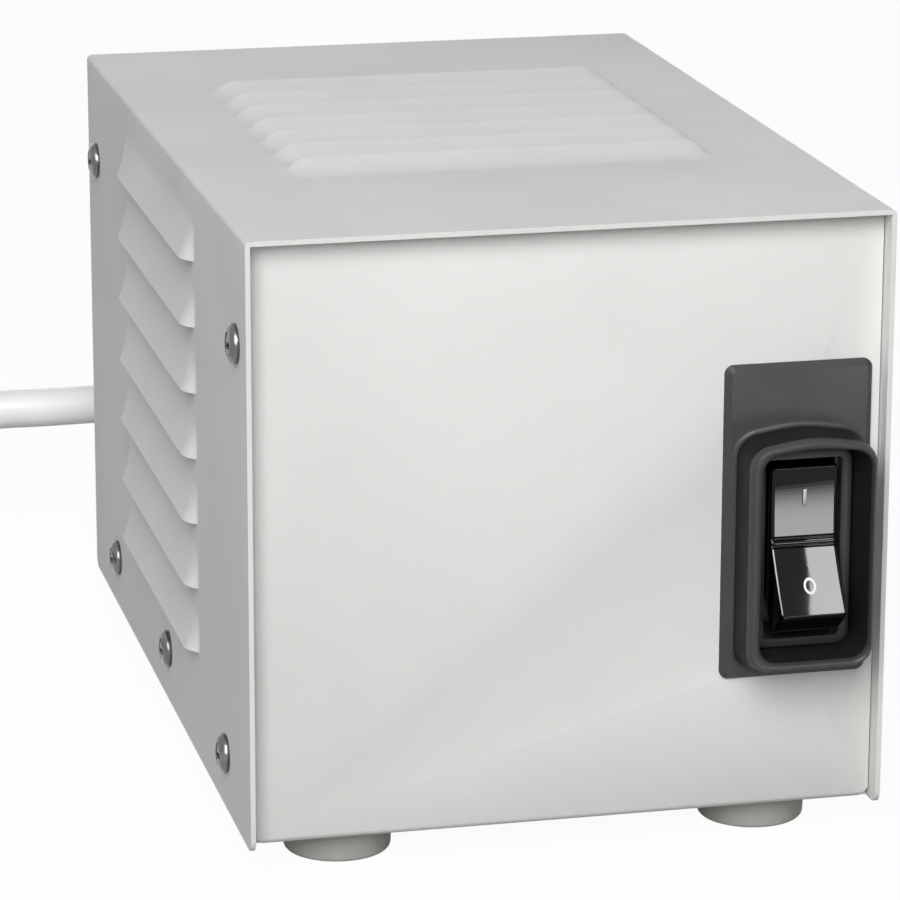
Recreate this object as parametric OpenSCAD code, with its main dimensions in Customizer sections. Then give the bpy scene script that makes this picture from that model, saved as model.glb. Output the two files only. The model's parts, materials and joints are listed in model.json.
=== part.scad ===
/* [Cover] */
// Width of the cover over its side walls
case_w = 152; // [146:1:190]
// Depth of the cover from its front edge to its rear edge
case_d = 232; // [226:1:236]
// Height of the cover from its lower edge to its top
case_h = 144.6; // [140:0.1:180]
// Thickness of the steel sheet of the cover and the chassis
sheet_t = 1.2; // [1:0.1:1.5]
// Outer radius of the cover's two long bends
bend_r = 1.6; // [1.4:0.1:3]
// Radius of the side walls' lower corners
corner_r = 3; // [1:0.5:6]

/* [Louvres] */
// Length of a louvre
louvre_len = 104; // [60:1:110]
// Height of a louvre from its mouth to its closed edge
louvre_h = 10.5; // [8:0.5:12]
// How far a louvre's lip stands out of the sheet
louvre_out = 3; // [2.6:0.1:4]
// How far the ends of a louvre take to rise to its lip
louvre_run = 6; // [4:0.5:8]
// Distance from one louvre to the next
louvre_pitch = 16.25; // [15:0.25:17]
// Number of louvres in a row
louvre_count = 7; // [3:1:7]
// Height of the lowest side louvre's mouth above the cover's lower edge
side_louvre_low = 27.6; // [24:0.1:30]
// Distance from the cover's front edge to the middle of the side louvres
side_louvre_mid = 118; // [110:1:124]
// Distance from the cover's front edge to the first top louvre's mouth
top_louvre_first = 73.5; // [60:0.5:80]

/* [Chassis] */
// How far the front and rear panels lie inside the cover's edges
panel_recess = 4.75; // [4:0.25:7]
// Gap between the chassis and the cover
cover_gap = 0.3; // [0.2:0.1:1]
// Height of the chassis floor's underside above the cover's lower edge
chassis_lift = 0.3; // [0.1:0.1:1]
// Outer radius of the chassis folds
fold_r = 1.6; // [1.4:0.1:3]
// Depth of the flanges on the panels' sides
flange_d = 16; // [15:0.5:18]
// Height of the flanges on the floor's sides
flange_h = 22; // [20:0.5:24]
// Diagonal cut at the panels' lower corners
corner_cut = 2.3; // [1:0.1:4]

/* [Cover screws] */
// Diameter of a cover screw's head
screw_head_d = 9.3; // [8:0.1:10]
// Height of a cover screw's head
screw_head_h = 2.5; // [2:0.1:3]
// Diameter of a cover screw's shank
screw_d = 4.8; // [4:0.1:5]
// Height of the upper screws above the cover's lower edge
screw_high = 118.5; // [100:0.5:125]
// Height of the lower screws above the cover's lower edge
screw_low = 14.2; // [13:0.1:15]
// Distance of the front upper screw from the cover's front edge
screw_front = 12; // [11:0.5:13]
// Distance of the rear upper screw from the cover's rear edge
screw_rear = 15; // [11:0.5:15]
// Distance of the first lower screw from the cover's front edge
screw_first = 30.7; // [28:0.1:34]
// Distance from one lower screw to the next
screw_pitch = 80.4; // [70:0.1:82]

/* [Feet] */
// Height of the cover's lower edge above the floor
foot_drop = 8; // [7:0.5:12]
// Diameter of a foot where it meets the chassis
foot_d = 26; // [22:0.5:30]
// Diameter of a foot at the floor
foot_tip_d = 25.2; // [20:0.1:30]
// Distance of the feet's middles from the cover's side walls
foot_side = 25; // [23:0.5:30]
// Distance of the feet's middles from the cover's front and rear edges
foot_y = 23.5; // [20:0.5:28]

/* [Switch] */
// Distance of the switch's middle from the cover's right side wall
switch_side = 21.4; // [21:0.1:26]
// Height of the rocker's pin above the cover's lower edge
switch_z = 65.4; // [60:0.1:75]
// Width of the guard's plate
guard_w = 35.6; // [33:0.1:37]
// Height of the guard's plate
guard_h = 76; // [72:0.5:82]
// How far the plate's lower edge lies below the rocker's pin
guard_below = 32.6; // [31:0.1:36]
// Thickness of the guard's plate
guard_t = 2; // [1.6:0.1:3]
// How far the collar stands out of the plate
collar_out = 13.5; // [10:0.5:15]
// Width of the collar
collar_w = 30.6; // [30:0.1:32]
// Width of the opening in the collar
mouth_w = 24; // [23:0.1:25]
// Height of the opening in the collar
mouth_h = 48; // [47:0.5:50]
// Width of the rocker
rocker_w = 16; // [14:0.1:17]
// Angle of each rocker face to the rocker's own mean plane
rocker_v = 17; // [12:1:18]
// Angle that the rocker tips between its two rest places
rocker_travel = 34; // [24:1:34]
// Distance from the rocker's pin to its furthest edges
rocker_reach = 21; // [19:0.5:21]
// Distance from the rocker's pin to the strip between its faces
rocker_rise = 7.4; // [6:0.1:8]
// Diameter of the rocker's pin
pin_d = 3; // [2:0.1:3.5]

/* [Core] */
// Gap between the core and the chassis's side flanges
core_gap = 15.85; // [14:0.05:22]
// Height of the core
core_h = 95.2; // [90:0.1:100]
// Depth of the lamination stack
core_stack = 50.8; // [40:0.1:60]
// How far the core lies behind the middle of the cover's depth
core_back = 2; // [0:1:6]
// Diameter of the bolts through the core
bolt_d = 4.8; // [4:0.1:5]

/* [Receptacle] */
// Distance of the receptacle's middle from the cover's right side wall
outlet_side = 44; // [36:1:48]
// Height of the receptacle's middle above the cover's lower edge
outlet_z = 72; // [68:1:76]

/* [Cord] */
// Diameter of the mains cord
cord_d = 11; // [10:0.1:11]
// How far the strain relief stands out behind the rear panel
relief_out = 14; // [12:0.5:16]

/* [Hidden] */

// Smoothness of bores and turned shapes, and of the children of hulls
round_fn = 64;
hull_fn = 32;
// How far cuts run past a face
over = 0.4;
// Clearance of running and seated pieces, and of screws in their holes
seat_gap = 0.1;
pin_play = 0.05;
hole_play = 0.25;

// Rocker, seen from the side about its pin: how far its faces' lines pass from the pin,
// and where its tips lie, up the panel and out of it
rocker_tilt = rocker_travel / 2;
strip_half = 1.4;
pin_depth = 4;
face_off = rocker_rise * cos(rocker_v) - strip_half * sin(rocker_v);
face_run = sqrt(rocker_reach * rocker_reach - face_off * face_off);
tip_up = face_run * cos(rocker_v) - face_off * sin(rocker_v);
tip_rise = face_run * sin(rocker_v) + face_off * cos(rocker_v);
tip_out = tip_up * sin(rocker_tilt) + tip_rise * cos(rocker_tilt) - pin_depth;

// Places of the cover's edges, of the floor and of the panels: the rocker's tip lies as far
// in front of the origin as the strain relief's end lies behind it
front_y = (tip_out - case_d + panel_recess - relief_out) / 2;
rear_y = front_y + case_d;
low_z = foot_drop;
top_z = low_z + case_h;
floor_z = low_z + chassis_lift;
deck_z = floor_z + sheet_t;
panel_y = front_y + panel_recess;
panel_back = panel_y + sheet_t;
tail_y = rear_y - panel_recess;
tail_front = tail_y - sheet_t;
inner_x = case_w / 2 - sheet_t;
flange_x = inner_x - cover_gap;
flange_in = flange_x - sheet_t;
panel_top = top_z - sheet_t - cover_gap;
switch_row_z = low_z + switch_z;
screw_spots = concat(
  [[front_y + screw_front, low_z + screw_high], [rear_y - screw_rear, low_z + screw_high]],
  [for (i = [0:2]) [front_y + screw_first + i * screw_pitch, low_z + screw_low]]);
foot_x = case_w / 2 - foot_side;
switch_x = case_w / 2 - switch_side;
outlet_x = case_w / 2 - outlet_side;
foot_spots = [for (x = [-foot_x, foot_x], y = [front_y + foot_y, rear_y - foot_y]) [x, y]];

// Louvres: straight ramps with round ends, of the sheet's own thickness
louvre_round = (louvre_run * louvre_run + louvre_out * louvre_out) / (2 * louvre_out);
louvre_mid = louvre_len / 2 - louvre_run;
louvre_slope = louvre_out / louvre_h;
louvre_wall = sheet_t * sqrt(1 + louvre_slope * louvre_slope);

// Feet
foot_round = 0.8;
foot_pocket_d = 12;
foot_web = 3.2;
foot_screw_d = 4.2;
foot_head_d = 8.2;
foot_head_h = 2.4;
small_nut_w = 8.7;
small_nut_h = 3.2;

// Press nuts behind the cover's screws
press_nut_d = 9.5;
press_nut_h = 3.5;
screw_len = 9;

// Pan heads: height of the edge, and the cross recess, as shares of the head's sizes
head_edge_share = 0.35;
recess_w_share = 0.16;
recess_len_share = 0.6;
recess_deep_share = 0.52;
head_steps = 5;

// Switch guard, rocker frame and circuit breaker
bevel = 1.4;
guard_corner = 2.2;
slice = 0.05;
collar_up = 3;
collar_crown = 1;
crown_share = 0.2;
collar_bevel = 1.7;
collar_bevel_d = 2.8;
collar_round = 4;
collar_draft = 0.5;
collar_foot = 2.6;
mouth_round = 3.3;
frame_out = 1.5;
frame_front = front_y - frame_out;
rocker_side_gap = 0.3;
rocker_end_gap = 0.7;
frame_lip = 0.9;
frame_cell_w = rocker_w + 2 * rocker_side_gap;
frame_lip_w = frame_cell_w + 2 * frame_lip;
frame_cell_h = 2 * rocker_reach + 2 * rocker_end_gap;
frame_lip_deep = 2.5;
cut_w = 21.4;
cut_h = 46.6;
frame_neck_w = cut_w - 2 * seat_gap;
frame_neck_h = cut_h - 2 * seat_gap;
breaker_w = 19;
breaker_h = 58;
breaker_pit = 6;
breaker_screw_z = 26.3;
breaker_screw_d = 3;
breaker_head_d = 5.4;
breaker_head_h = 1.8;
tab_w = 6.3;
tab_t = 0.8;
tab_len = 9;
tab_z = 14;
rocker_back = 2.2;
switch_y = front_y + pin_depth;

// Core, bobbin and windings
core_w = 2 * (flange_in - core_gap);
leg_w = core_w / 3;
yoke_h = core_w / 6;
window_w = core_w / 6;
window_h = core_h - 2 * yoke_h;
bracket_t = 2;
core_z = deck_z + bracket_t;
core_y = (front_y + rear_y) / 2 + core_back;
breaker_room = 35.65;
breaker_d = core_y - core_stack / 2 - panel_back - tab_len - breaker_room;
bobbin_play = 0.4;
bobbin_t = 1.6;
bobbin_side = 0.5;
winding_round = 4;
wrap_t = 0.6;
coil_over = 17;
tube_x = leg_w / 2 + bobbin_play + bobbin_t;
tube_y = core_stack / 2 + bobbin_play + bobbin_t;
wound_x = leg_w / 2 + window_w - bobbin_side - wrap_t;
wound_y = core_stack / 2 + coil_over;
bobbin_z = core_z + yoke_h + bobbin_play;
bobbin_h = window_h - 2 * bobbin_play;
section_h = (bobbin_h - 3 * bobbin_t) / 2;
bolt_inset = yoke_h / 2;
bracket_h = yoke_h - bracket_t;
bracket_foot = 15;
nut_w = 9.5;
nut_h = 4;
washer_d = 10.5;
washer_t = 1;
bolt_head_h = 3.2;
bolt_out = 6.5;
mount_inset = 17.15;
mount_x = core_w / 2 - mount_inset;
mount_screw_d = 4.8;
mount_head_d = 8.4;
mount_head_h = 2.6;
mount_out = 6;
screw_past = 5;

// Receptacle: a duplex outlet of the standard size
outlet_face_w = 34.3;
outlet_face_flat = 28.4;
outlet_face_out = 1.6;
outlet_body_w = 33;
outlet_body_h = 69;
outlet_rim = 0.85;
outlet_gap_z = outlet_body_h - outlet_face_flat - 2 * outlet_rim;
outlet_body_d = 24;
strap_w = 20;
strap_ear = 17.5;
ear_middle = 7.15;
strap_h = outlet_body_h + 2 * strap_ear;
strap_t = 1.5;
strap_screw_gap = outlet_body_h + 2 * ear_middle;
strap_screw_d = 3.5;
strap_head_d = 6.8;
strap_head_h = 2.2;
slot_gap = 12.7;
slot_t = 2;
slot_h = 6.6;
slot_tall_h = 8.2;
slot_deep = 13;
slot_rise = 5;
ground_hole_d = 5.2;
ground_drop = 11.9;
terminal_d = 7.5;
terminal_h = 2;
terminal_z = 12;
outlet_y = tail_y + outlet_face_out;
outlet_back = tail_front - strap_t;
strap_leg = outlet_body_h / 2 + seat_gap + strap_t;
strap_back = outlet_body_d + seat_gap + 2 * strap_t;
outlet_row_z = low_z + outlet_z;

// Strain relief
relief_d = 22;
relief_flange_t = 3;
relief_bevel = 0.9;
relief_neck_d = 17.5;
relief_taper = 1.5;
relief_tip_d = 15;
relief_in = 7;

// The cord's first free stretch and its tail, measured from the rear panel, then its coil and its plug
free_points = [
  [-24, -11.6, 40], [-24, 2.4, 40], [-24, 16.4, 40], [-29, 35.4, 40], [-43, 50.4, 40], [-64, 57.4, 40],
  [-82, 57.4, 40], [-98, 57.4, 40], [-112, 57.4, 38.5], [-125, 57.4, 33], [-138, 57.4, 22.5],
  [-151, 57.4, 11], [-161, 57.4, 6.5], [-170, 57.4, 5.5], [-180, 57.4, 5.5]
];
tail_points = [[-257, -19.6, 17], [-257, -31.6, 17], [-255, -47.6, 17], [-253, -61.6, 17], [-253, -73.6, 17]];
cord_route = [for (p = free_points) p + [0, tail_y, 0]];
tail_route = [for (p = tail_points) p + [0, tail_y, 0]];
coil_x = -191;
coil_y = tail_y - 8.6;
coil_r = 66;
coil_step = 11.5;
coil_turns = 4.25;
climb_turns = 0.5;
loop_rings = 24;
near_rings = 8;
coil_sides = 6;
cord_sides = 10;
cord_x = cord_route[0][0];
cord_z = cord_route[0][2];
cord_end = cord_route[len(cord_route) - 1];
tail_start = tail_route[0];
plug_end = tail_route[len(tail_route) - 1];

// Plug: its outline as shares of its length and of its radius, and its pins
plug_len = 56;
plug_r = 17;
plug_shares = [[0, 0], [0, 0.42], [0.05, 0.53], [0.3, 0.53], [0.52, 0.82], [0.6, 0.82],
  [0.66, 1], [0.96, 1], [1, 0.87], [1, 0]];
plug_blade_rise = 4;
blade_len = 17.5;
blade_w = 6.4;
blade_t = 1.5;
earth_d = 4.8;
earth_len = 21;

// Leads inside the case
lead_d = 3.2;
lead_sides = 8;
lead_lay = 2.3;
lug_d = 11;
lug_t = 1;
lug_top = deck_z + 2 * lug_t + seat_gap;
stud_side = 21;
stud_x = stud_side - flange_in;
stud_from_rear = 47;
stud_d = 4.8;

// Where leads end: the cord's cut end, breaker tabs, windings, receptacle screws and the stud
cord_cut = cord_route[0];
tab_top = [switch_x, panel_back + breaker_d + tab_len, switch_row_z + tab_z];
tab_low = [switch_x, panel_back + breaker_d + tab_len, switch_row_z - tab_z];
front_coil_y = core_y - wound_y - wrap_t;
rear_coil_y = core_y + wound_y + wrap_t;
primary_z = bobbin_z + bobbin_t + section_h / 2;
secondary_z = bobbin_z + bobbin_h - bobbin_t - section_h / 2;
side_x = (core_w / 2 + flange_in) / 2;
screw_x = outlet_body_w / 2 + terminal_h;
terminal_y = outlet_back - outlet_body_d / 2;
lane = lead_d + 2 * hole_play;
lead_turn = 8;

// The cord's and leads' tubes: rings square to the route, with a level side axis
function unit(v) = v / norm(v);
function heading(p, i) =
  unit((i > 0 ? unit(p[i] - p[i - 1]) : [0, 0, 0])
  + (i < len(p) - 1 ? unit(p[i + 1] - p[i]) : [0, 0, 0]));
function level(t) = unit(cross(t, [0, 0, 1]));
function ring(c, t, r, n) =
  [for (k = [0:n - 1]) let (a = 360 * (k + 0.5) / n)
    c + r * (cos(a) * level(t) + sin(a) * cross(level(t), t))];
function path_length(p, i = 0) = i >= len(p) - 1 ? 0 : norm(p[i + 1] - p[i]) + path_length(p, i + 1);

module tube(p, r, n) {
  rings = len(p);
  corners = [for (i = [0:rings - 1]) each ring(p[i], heading(p, i), r, n)];
  walls = [for (i = [0:rings - 2], k = [0:n - 1])
    let (a = i * n + k, b = i * n + (k + 1) % n)
    each [[a, b, b + n], [a, b + n, a + n]]];
  first = [for (k = [1:n - 2]) [0, k + 1, k]];
  last = [for (k = [1:n - 2]) [(rings - 1) * n, (rings - 1) * n + k, (rings - 1) * n + k + 1]];
  polyhedron(points = corners, faces = concat(walls, first, last));
}

// A point of the coil after a number of turns: inward, up to the second layer, and outward again
function coil_radius(t) = coil_r - coil_step * min(t, coil_turns - t);
function coil_climb(t) = min(max((t - (coil_turns - climb_turns) / 2) / climb_turns, 0), 1);
function coil_point(t) =
  [coil_x - coil_radius(t) * sin(360 * t), coil_y + coil_radius(t) * cos(360 * t),
    cord_end[2] + coil_step * coil_climb(t)];
coil_path = concat([cord_end], [for (k = [0:coil_turns * loop_rings]) coil_point(k / loop_rings)], [tail_start]);
coil_gap = min([for (i = [0:len(coil_path) - 1], j = [i + near_rings:1:len(coil_path) - 1])
  norm(coil_path[i] - coil_path[j])]) - cord_d;
echo(coil_least_gap = coil_gap);
echo(cord_length = path_length(cord_route) + path_length(coil_path) + path_length(tail_route));

// A plate with its upper corners rounded, open below
module arched(w, h, r) {
  translate([-w / 2, 0]) square([w, h - r]);
  translate([r - w / 2, 0]) square([w - 2 * r, h]);
  for (s = [-1, 1]) translate([s * (w / 2 - r), h - r]) circle(r, $fn = round_fn);
}

// A sheet folded to a U, seen along its folds and standing on its open side
module fold_section(w, h, t, r) {
  difference() {
    arched(w, h, r);
    translate([0, -over]) arched(w - 2 * t, h - t + over, max(r - t, t / 4));
  }
}

// Copies for both side walls
module both_sides() {
  for (s = [0, 1]) mirror([s, 0, 0]) children();
}

// A pan head with its flat on the XY plane, and its shank below
module pan_screw(head_d, head_h, shank_d, shank_len) {
  edge = head_h * head_edge_share;
  difference() {
    union() {
      rotate_extrude($fn = round_fn)
        polygon(concat([[0, 0], [head_d / 2, 0]],
          [for (i = [0:head_steps]) let (a = 90 * i / (head_steps + 1))
            [head_d / 2 * cos(a), edge + (head_h - edge) * sin(a)]],
          [[0, head_h]]));
      translate([0, 0, -shank_len]) cylinder(h = shank_len + edge, d = shank_d, $fn = round_fn);
    }
    for (a = [0, 90]) rotate(a)
      translate([-head_d * recess_len_share / 2, -head_d * recess_w_share / 2, head_h * (1 - recess_deep_share)])
        cube([head_d * recess_len_share, head_d * recess_w_share, head_h]);
  }
}

// A hexagon nut standing on the XY plane
module hex_nut(across, h, bore) {
  difference() {
    cylinder(h = h, d = across / cos(30), $fn = 6);
    translate([0, 0, -over]) cylinder(h = h + 2 * over, d = bore, $fn = round_fn);
  }
}

// A flat washer standing on the XY plane
module washer(d, h, bore) {
  difference() {
    cylinder(h = h, d = d, $fn = round_fn);
    translate([0, 0, -over]) cylinder(h = h + 2 * over, d = bore, $fn = round_fn);
  }
}

// A louvre seen square to its mouth: level along the lip, with round ends
module louvre_front(r) {
  translate([0, louvre_out - louvre_round]) {
    square([2 * louvre_mid, 2 * r], center = true);
    for (s = [-1, 1]) translate([s * louvre_mid, 0]) circle(r, $fn = round_fn);
  }
}

// What lies within a ramp, given as its outline seen from the side, and within a louvre's front view
module louvre_body(ramp, r) {
  intersection() {
    translate([0, louvre_h + 2 * over, 0]) rotate([90, 0, 0])
      linear_extrude(louvre_h + 4 * over) louvre_front(r);
    rotate([90, 0, 90]) linear_extrude(louvre_len, center = true) polygon(ramp);
  }
}

// A louvre's hood on a sheet in the XY plane: mouth towards -Y, lip outwards along +Z
module louvre_hood() {
  louvre_body([[0, -sheet_t / 2], [0, louvre_out], [louvre_h, 0], [louvre_h, -sheet_t / 2]], louvre_round);
}

// The space under a louvre's hood, open at its mouth and through the sheet
module louvre_space() {
  low = -sheet_t - over;
  lip = louvre_out - louvre_wall;
  louvre_body([[-over, low], [-over, lip + over * louvre_slope], [(lip - low) / louvre_slope, low]],
    louvre_round - sheet_t);
}

// Places of all louvres: two side rows with mouths down, one top row with mouths to the rear
module at_louvres() {
  for (i = [0:louvre_count - 1]) {
    both_sides() translate([case_w / 2, front_y + side_louvre_mid, low_z + side_louvre_low + i * louvre_pitch])
      rotate([90, 0, 90]) children();
    translate([0, front_y + top_louvre_first + i * louvre_pitch, top_z]) rotate(180) children();
  }
}

// Places of the cover's screws on a face at a distance from the middle, with +Z running outwards
module at_cover_screws(x) {
  both_sides() for (p = screw_spots) translate([x, p[0], p[1]]) rotate([0, 90, 0]) children();
}

// Holes for the cover's screws through a side sheet with its inner face at a distance from the middle
module cover_screw_holes(x) {
  at_cover_screws(x - over) cylinder(h = sheet_t + 2 * over, d = screw_d + 2 * hole_play, $fn = round_fn);
}

module cover() {
  color("whitesmoke")
  difference() {
    union() {
      translate([0, rear_y, low_z]) rotate([90, 0, 0])
        linear_extrude(case_d) fold_section(case_w, case_h, sheet_t, bend_r);
      at_louvres() louvre_hood();
    }
    at_louvres() louvre_space();
    cover_screw_holes(inner_x);
    for (s = [0, 1]) translate([0, (front_y + rear_y) / 2, 0]) mirror([0, s, 0])
      translate([-case_w / 2 - over, -case_d / 2, low_z]) difference() {
        translate([0, -over, -over]) cube([case_w + 2 * over, corner_r + over, corner_r + over]);
        translate([-over, corner_r, corner_r]) rotate([0, 90, 0])
          cylinder(h = case_w + 4 * over, r = corner_r, $fn = round_fn);
      }
  }
}

// A hole through the chassis sheet, whose near face lies on the XY plane
module sheet_hole(d) {
  translate([0, 0, -over]) cylinder(h = sheet_t + 2 * over, d = d, $fn = round_fn);
}

module chassis() {
  color("whitesmoke")
  difference() {
    union() {
      translate([-flange_x, (panel_y + tail_y) / 2, panel_top]) rotate([-90, 0, -90])
        linear_extrude(2 * flange_x) fold_section(tail_y - panel_y, panel_top - floor_z, sheet_t, fold_r);
      translate([0, tail_y - flange_d, floor_z + flange_h]) rotate([-90, 0, 0]) mirror([0, 0, 1])
        linear_extrude(tail_y - panel_y - 2 * flange_d) fold_section(2 * flange_x, flange_h, sheet_t, fold_r);
      for (s = [0, 1]) translate([0, (panel_y + tail_y) / 2, floor_z + flange_h]) mirror([0, s, 0])
        translate([0, (panel_y - tail_y) / 2 + flange_d, 0]) mirror([0, 1, 0])
          linear_extrude(panel_top - floor_z - flange_h) fold_section(2 * flange_x, flange_d, sheet_t, fold_r);
    }
    cover_screw_holes(flange_in);
    for (p = foot_spots) translate([p[0], p[1], floor_z]) sheet_hole(foot_screw_d + 2 * hole_play);
    translate([0, 0, floor_z]) {
      at_mounts() sheet_hole(mount_screw_d + 2 * hole_play);
      at_stud() sheet_hole(stud_d + 2 * hole_play);
    }
    both_sides() for (y = [panel_y, tail_y]) translate([flange_x, y, floor_z]) rotate([0, 45, 0])
      cube([corner_cut * sqrt(2), 2 * fold_r, corner_cut * sqrt(2)], center = true);
    translate([switch_x - cut_w / 2, panel_y - over, switch_row_z - cut_h / 2])
      cube([cut_w, sheet_t + 2 * over, cut_h]);
    at_breaker_screws() mirror([0, 0, 1]) sheet_hole(breaker_screw_d + 2 * hole_play);
    translate([cord_x, tail_front, cord_z]) rotate([-90, 0, 0]) sheet_hole(relief_neck_d + 2 * seat_gap);
    at_outlets(tail_front - over) outlet_face(sheet_t + 2 * over, seat_gap);
    at_strap_screws(tail_front) sheet_hole(strap_screw_d + 2 * hole_play);
  }
}

module cover_screws() {
  color("silver")
  at_cover_screws(case_w / 2) pan_screw(screw_head_d, screw_head_h, screw_d, screw_len);
}

module cover_nuts() {
  color("silver")
  at_cover_screws(flange_in - press_nut_h) washer(press_nut_d, press_nut_h, screw_d + 2 * pin_play);
}

module feet() {
  color("dimgray")
  for (p = foot_spots) translate([p[0], p[1], 0]) rotate_extrude($fn = round_fn)
    polygon(concat(
      [[foot_pocket_d / 2, 0]],
      [for (i = [0:3]) let (a = 30 * i)
        [foot_tip_d / 2 - foot_round + foot_round * sin(a), foot_round - foot_round * cos(a)]],
      [[foot_d / 2, floor_z], [foot_screw_d / 2 + hole_play, floor_z],
        [foot_screw_d / 2 + hole_play, floor_z - foot_web], [foot_pocket_d / 2, floor_z - foot_web]]));
}

module foot_screws() {
  color("silver")
  for (p = foot_spots) translate([p[0], p[1], floor_z - foot_web]) mirror([0, 0, 1])
    pan_screw(foot_head_d, foot_head_h, foot_screw_d, foot_web + sheet_t + screw_past);
}

module foot_nuts() {
  color("silver")
  for (p = foot_spots) translate([p[0], p[1], deck_z])
    hex_nut(small_nut_w, small_nut_h, foot_screw_d + 2 * pin_play);
}

// The guard plate's outline with rounded corners
module guard_outline(inset) {
  r = guard_corner - inset;
  for (x = [-1, 1], z = [guard_corner - guard_below, guard_h - guard_below - guard_corner])
    translate([x * (guard_w / 2 - guard_corner), z]) circle(r, $fn = hull_fn);
}

// The collar's outline: rounded corners, with a crowned top edge
module collar_outline(inset, foot) {
  w = collar_w - 2 * inset;
  low = -mouth_h / 2 - collar_up - foot + inset;
  high = mouth_h / 2 + collar_up - inset;
  r = collar_round - inset;
  for (s = [-1, 1]) {
    translate([s * (w / 2 - r), low + r]) circle(r, $fn = hull_fn);
    translate([s * (w / 2 - r), high - r]) circle(r, $fn = hull_fn);
    translate([s * w * crown_share, high + collar_crown - r]) circle(r, $fn = hull_fn);
  }
}

// The opening in the collar
module mouth_outline(grow) {
  r = mouth_round;
  for (x = [-1, 1], z = [-1, 1])
    translate([x * (mouth_w / 2 + grow - r), z * (mouth_h / 2 + grow - r)]) circle(r, $fn = hull_fn);
}

// A thin slice of an outline, square to the panel, at a distance in front of it
module guard_slice(out) {
  translate([switch_x, panel_y - out, switch_row_z]) rotate([90, 0, 0]) linear_extrude(slice) children();
}

// Places of the breaker's two screws on the panel, with +Z running forward
module at_breaker_screws() {
  for (s = [-1, 1]) translate([switch_x, panel_y, switch_row_z + s * breaker_screw_z])
    rotate([90, 0, 0]) children();
}

// Pockets for the heads of the breaker's screws
module head_pockets() {
  at_breaker_screws() translate([0, 0, -over])
    cylinder(h = breaker_head_h + over + hole_play, d = breaker_head_d + 2 * hole_play, $fn = hull_fn);
}

module switch_guard() {
  color("dimgray")
  difference() {
    union() {
      hull() {
        guard_slice(0) guard_outline(0);
        guard_slice(guard_t - slice) guard_outline(bevel);
      }
      hull() {
        guard_slice(guard_t / 2) collar_outline(0, collar_foot);
        guard_slice(guard_t + collar_out - collar_bevel_d) collar_outline(0, 0);
        guard_slice(guard_t + collar_out - slice) collar_outline(collar_bevel, 0);
      }
    }
    hull() {
      guard_slice(-over) mouth_outline(0);
      guard_slice(guard_t + collar_out + over) mouth_outline(collar_draft);
    }
    head_pockets();
  }
}

// The frame that shows round the rocker, its neck through the panel and the cheeks that hold the pin
module rocker_frame() {
  depth = panel_y - frame_front;
  color("black")
  difference() {
    union() {
      translate([switch_x, panel_y, switch_row_z]) rotate([90, 0, 0])
        translate([-mouth_w / 2 + seat_gap, -mouth_h / 2 + seat_gap, 0]) frame_block(depth);
      translate([switch_x - frame_neck_w / 2, panel_y - over, switch_row_z - frame_neck_h / 2])
        cube([frame_neck_w, sheet_t + over, frame_neck_h]);
    }
    translate([switch_x - frame_cell_w / 2, frame_front - over, switch_row_z - frame_cell_h / 2])
      cube([frame_cell_w, depth + sheet_t + 2 * over, frame_cell_h]);
    translate([switch_x - frame_lip_w / 2, frame_front - over, switch_row_z - frame_cell_h / 2])
      cube([frame_lip_w, frame_lip_deep + over, frame_cell_h]);
    translate([switch_x - mouth_w / 2, switch_y, switch_row_z]) rotate([0, 90, 0])
      cylinder(h = mouth_w, d = pin_d + 2 * pin_play, $fn = round_fn);
    head_pockets();
  }
}

// The frame's front block, with the same rounded corners as the collar's opening
module frame_block(depth) {
  r = mouth_round;
  w = mouth_w - 2 * seat_gap;
  h = mouth_h - 2 * seat_gap;
  linear_extrude(depth) {
    translate([r, 0]) square([w - 2 * r, h]);
    translate([0, r]) square([w, h - 2 * r]);
    for (x = [r, w - r], y = [r, h - r]) translate([x, y]) circle(r, $fn = round_fn);
  }
}

// The rocker's side view about its pin: x runs back into the case, y runs up the panel
module rocker_profile() {
  up = tip_up + over;
  out = tip_rise + over * tan(rocker_v);
  polygon([[-rocker_rise, -strip_half], [-rocker_rise, strip_half], [-out, up], [0, up],
    [rocker_back, up / 2], [rocker_back, -up / 2], [0, -up], [-out, -up]]);
}

module rocker() {
  color("black")
  translate([switch_x, switch_y, switch_row_z]) rotate([-rocker_tilt, 0, 0])
    difference() {
      intersection() {
        translate([-rocker_w / 2, 0, 0]) rotate([90, 0, 90]) linear_extrude(rocker_w) rocker_profile();
        translate([-rocker_w, 0, 0]) rotate([0, 90, 0])
          cylinder(h = 2 * rocker_w, r = rocker_reach, $fn = 2 * round_fn);
      }
      translate([-rocker_w, 0, 0]) rotate([0, 90, 0])
        cylinder(h = 2 * rocker_w, d = pin_d + 2 * pin_play, $fn = round_fn);
    }
}

module rocker_pin() {
  color("silver")
  translate([switch_x - frame_neck_w / 2, switch_y, switch_row_z]) rotate([0, 90, 0])
    cylinder(h = frame_neck_w, d = pin_d, $fn = round_fn);
}

module breaker_body() {
  color("black")
  difference() {
    translate([switch_x - breaker_w / 2, panel_back, switch_row_z - breaker_h / 2])
      cube([breaker_w, breaker_d, breaker_h]);
    translate([switch_x - frame_cell_w / 2, panel_back - over, switch_row_z - frame_cell_h / 2])
      cube([frame_cell_w, breaker_pit + over, frame_cell_h]);
    at_breaker_screws() translate([0, 0, -sheet_t - breaker_pit])
      cylinder(h = breaker_pit + over, d = breaker_screw_d + 2 * pin_play, $fn = round_fn);
  }
}

module breaker_terminals() {
  color("gold")
  for (s = [-1, 1])
    translate([switch_x - tab_w / 2, panel_back + breaker_d, switch_row_z + s * tab_z - tab_t / 2])
      cube([tab_w, tab_len, tab_t]);
}

module breaker_screws() {
  color("silver")
  at_breaker_screws()
    pan_screw(breaker_head_d, breaker_head_h, breaker_screw_d, sheet_t + breaker_pit - over);
}

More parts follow.
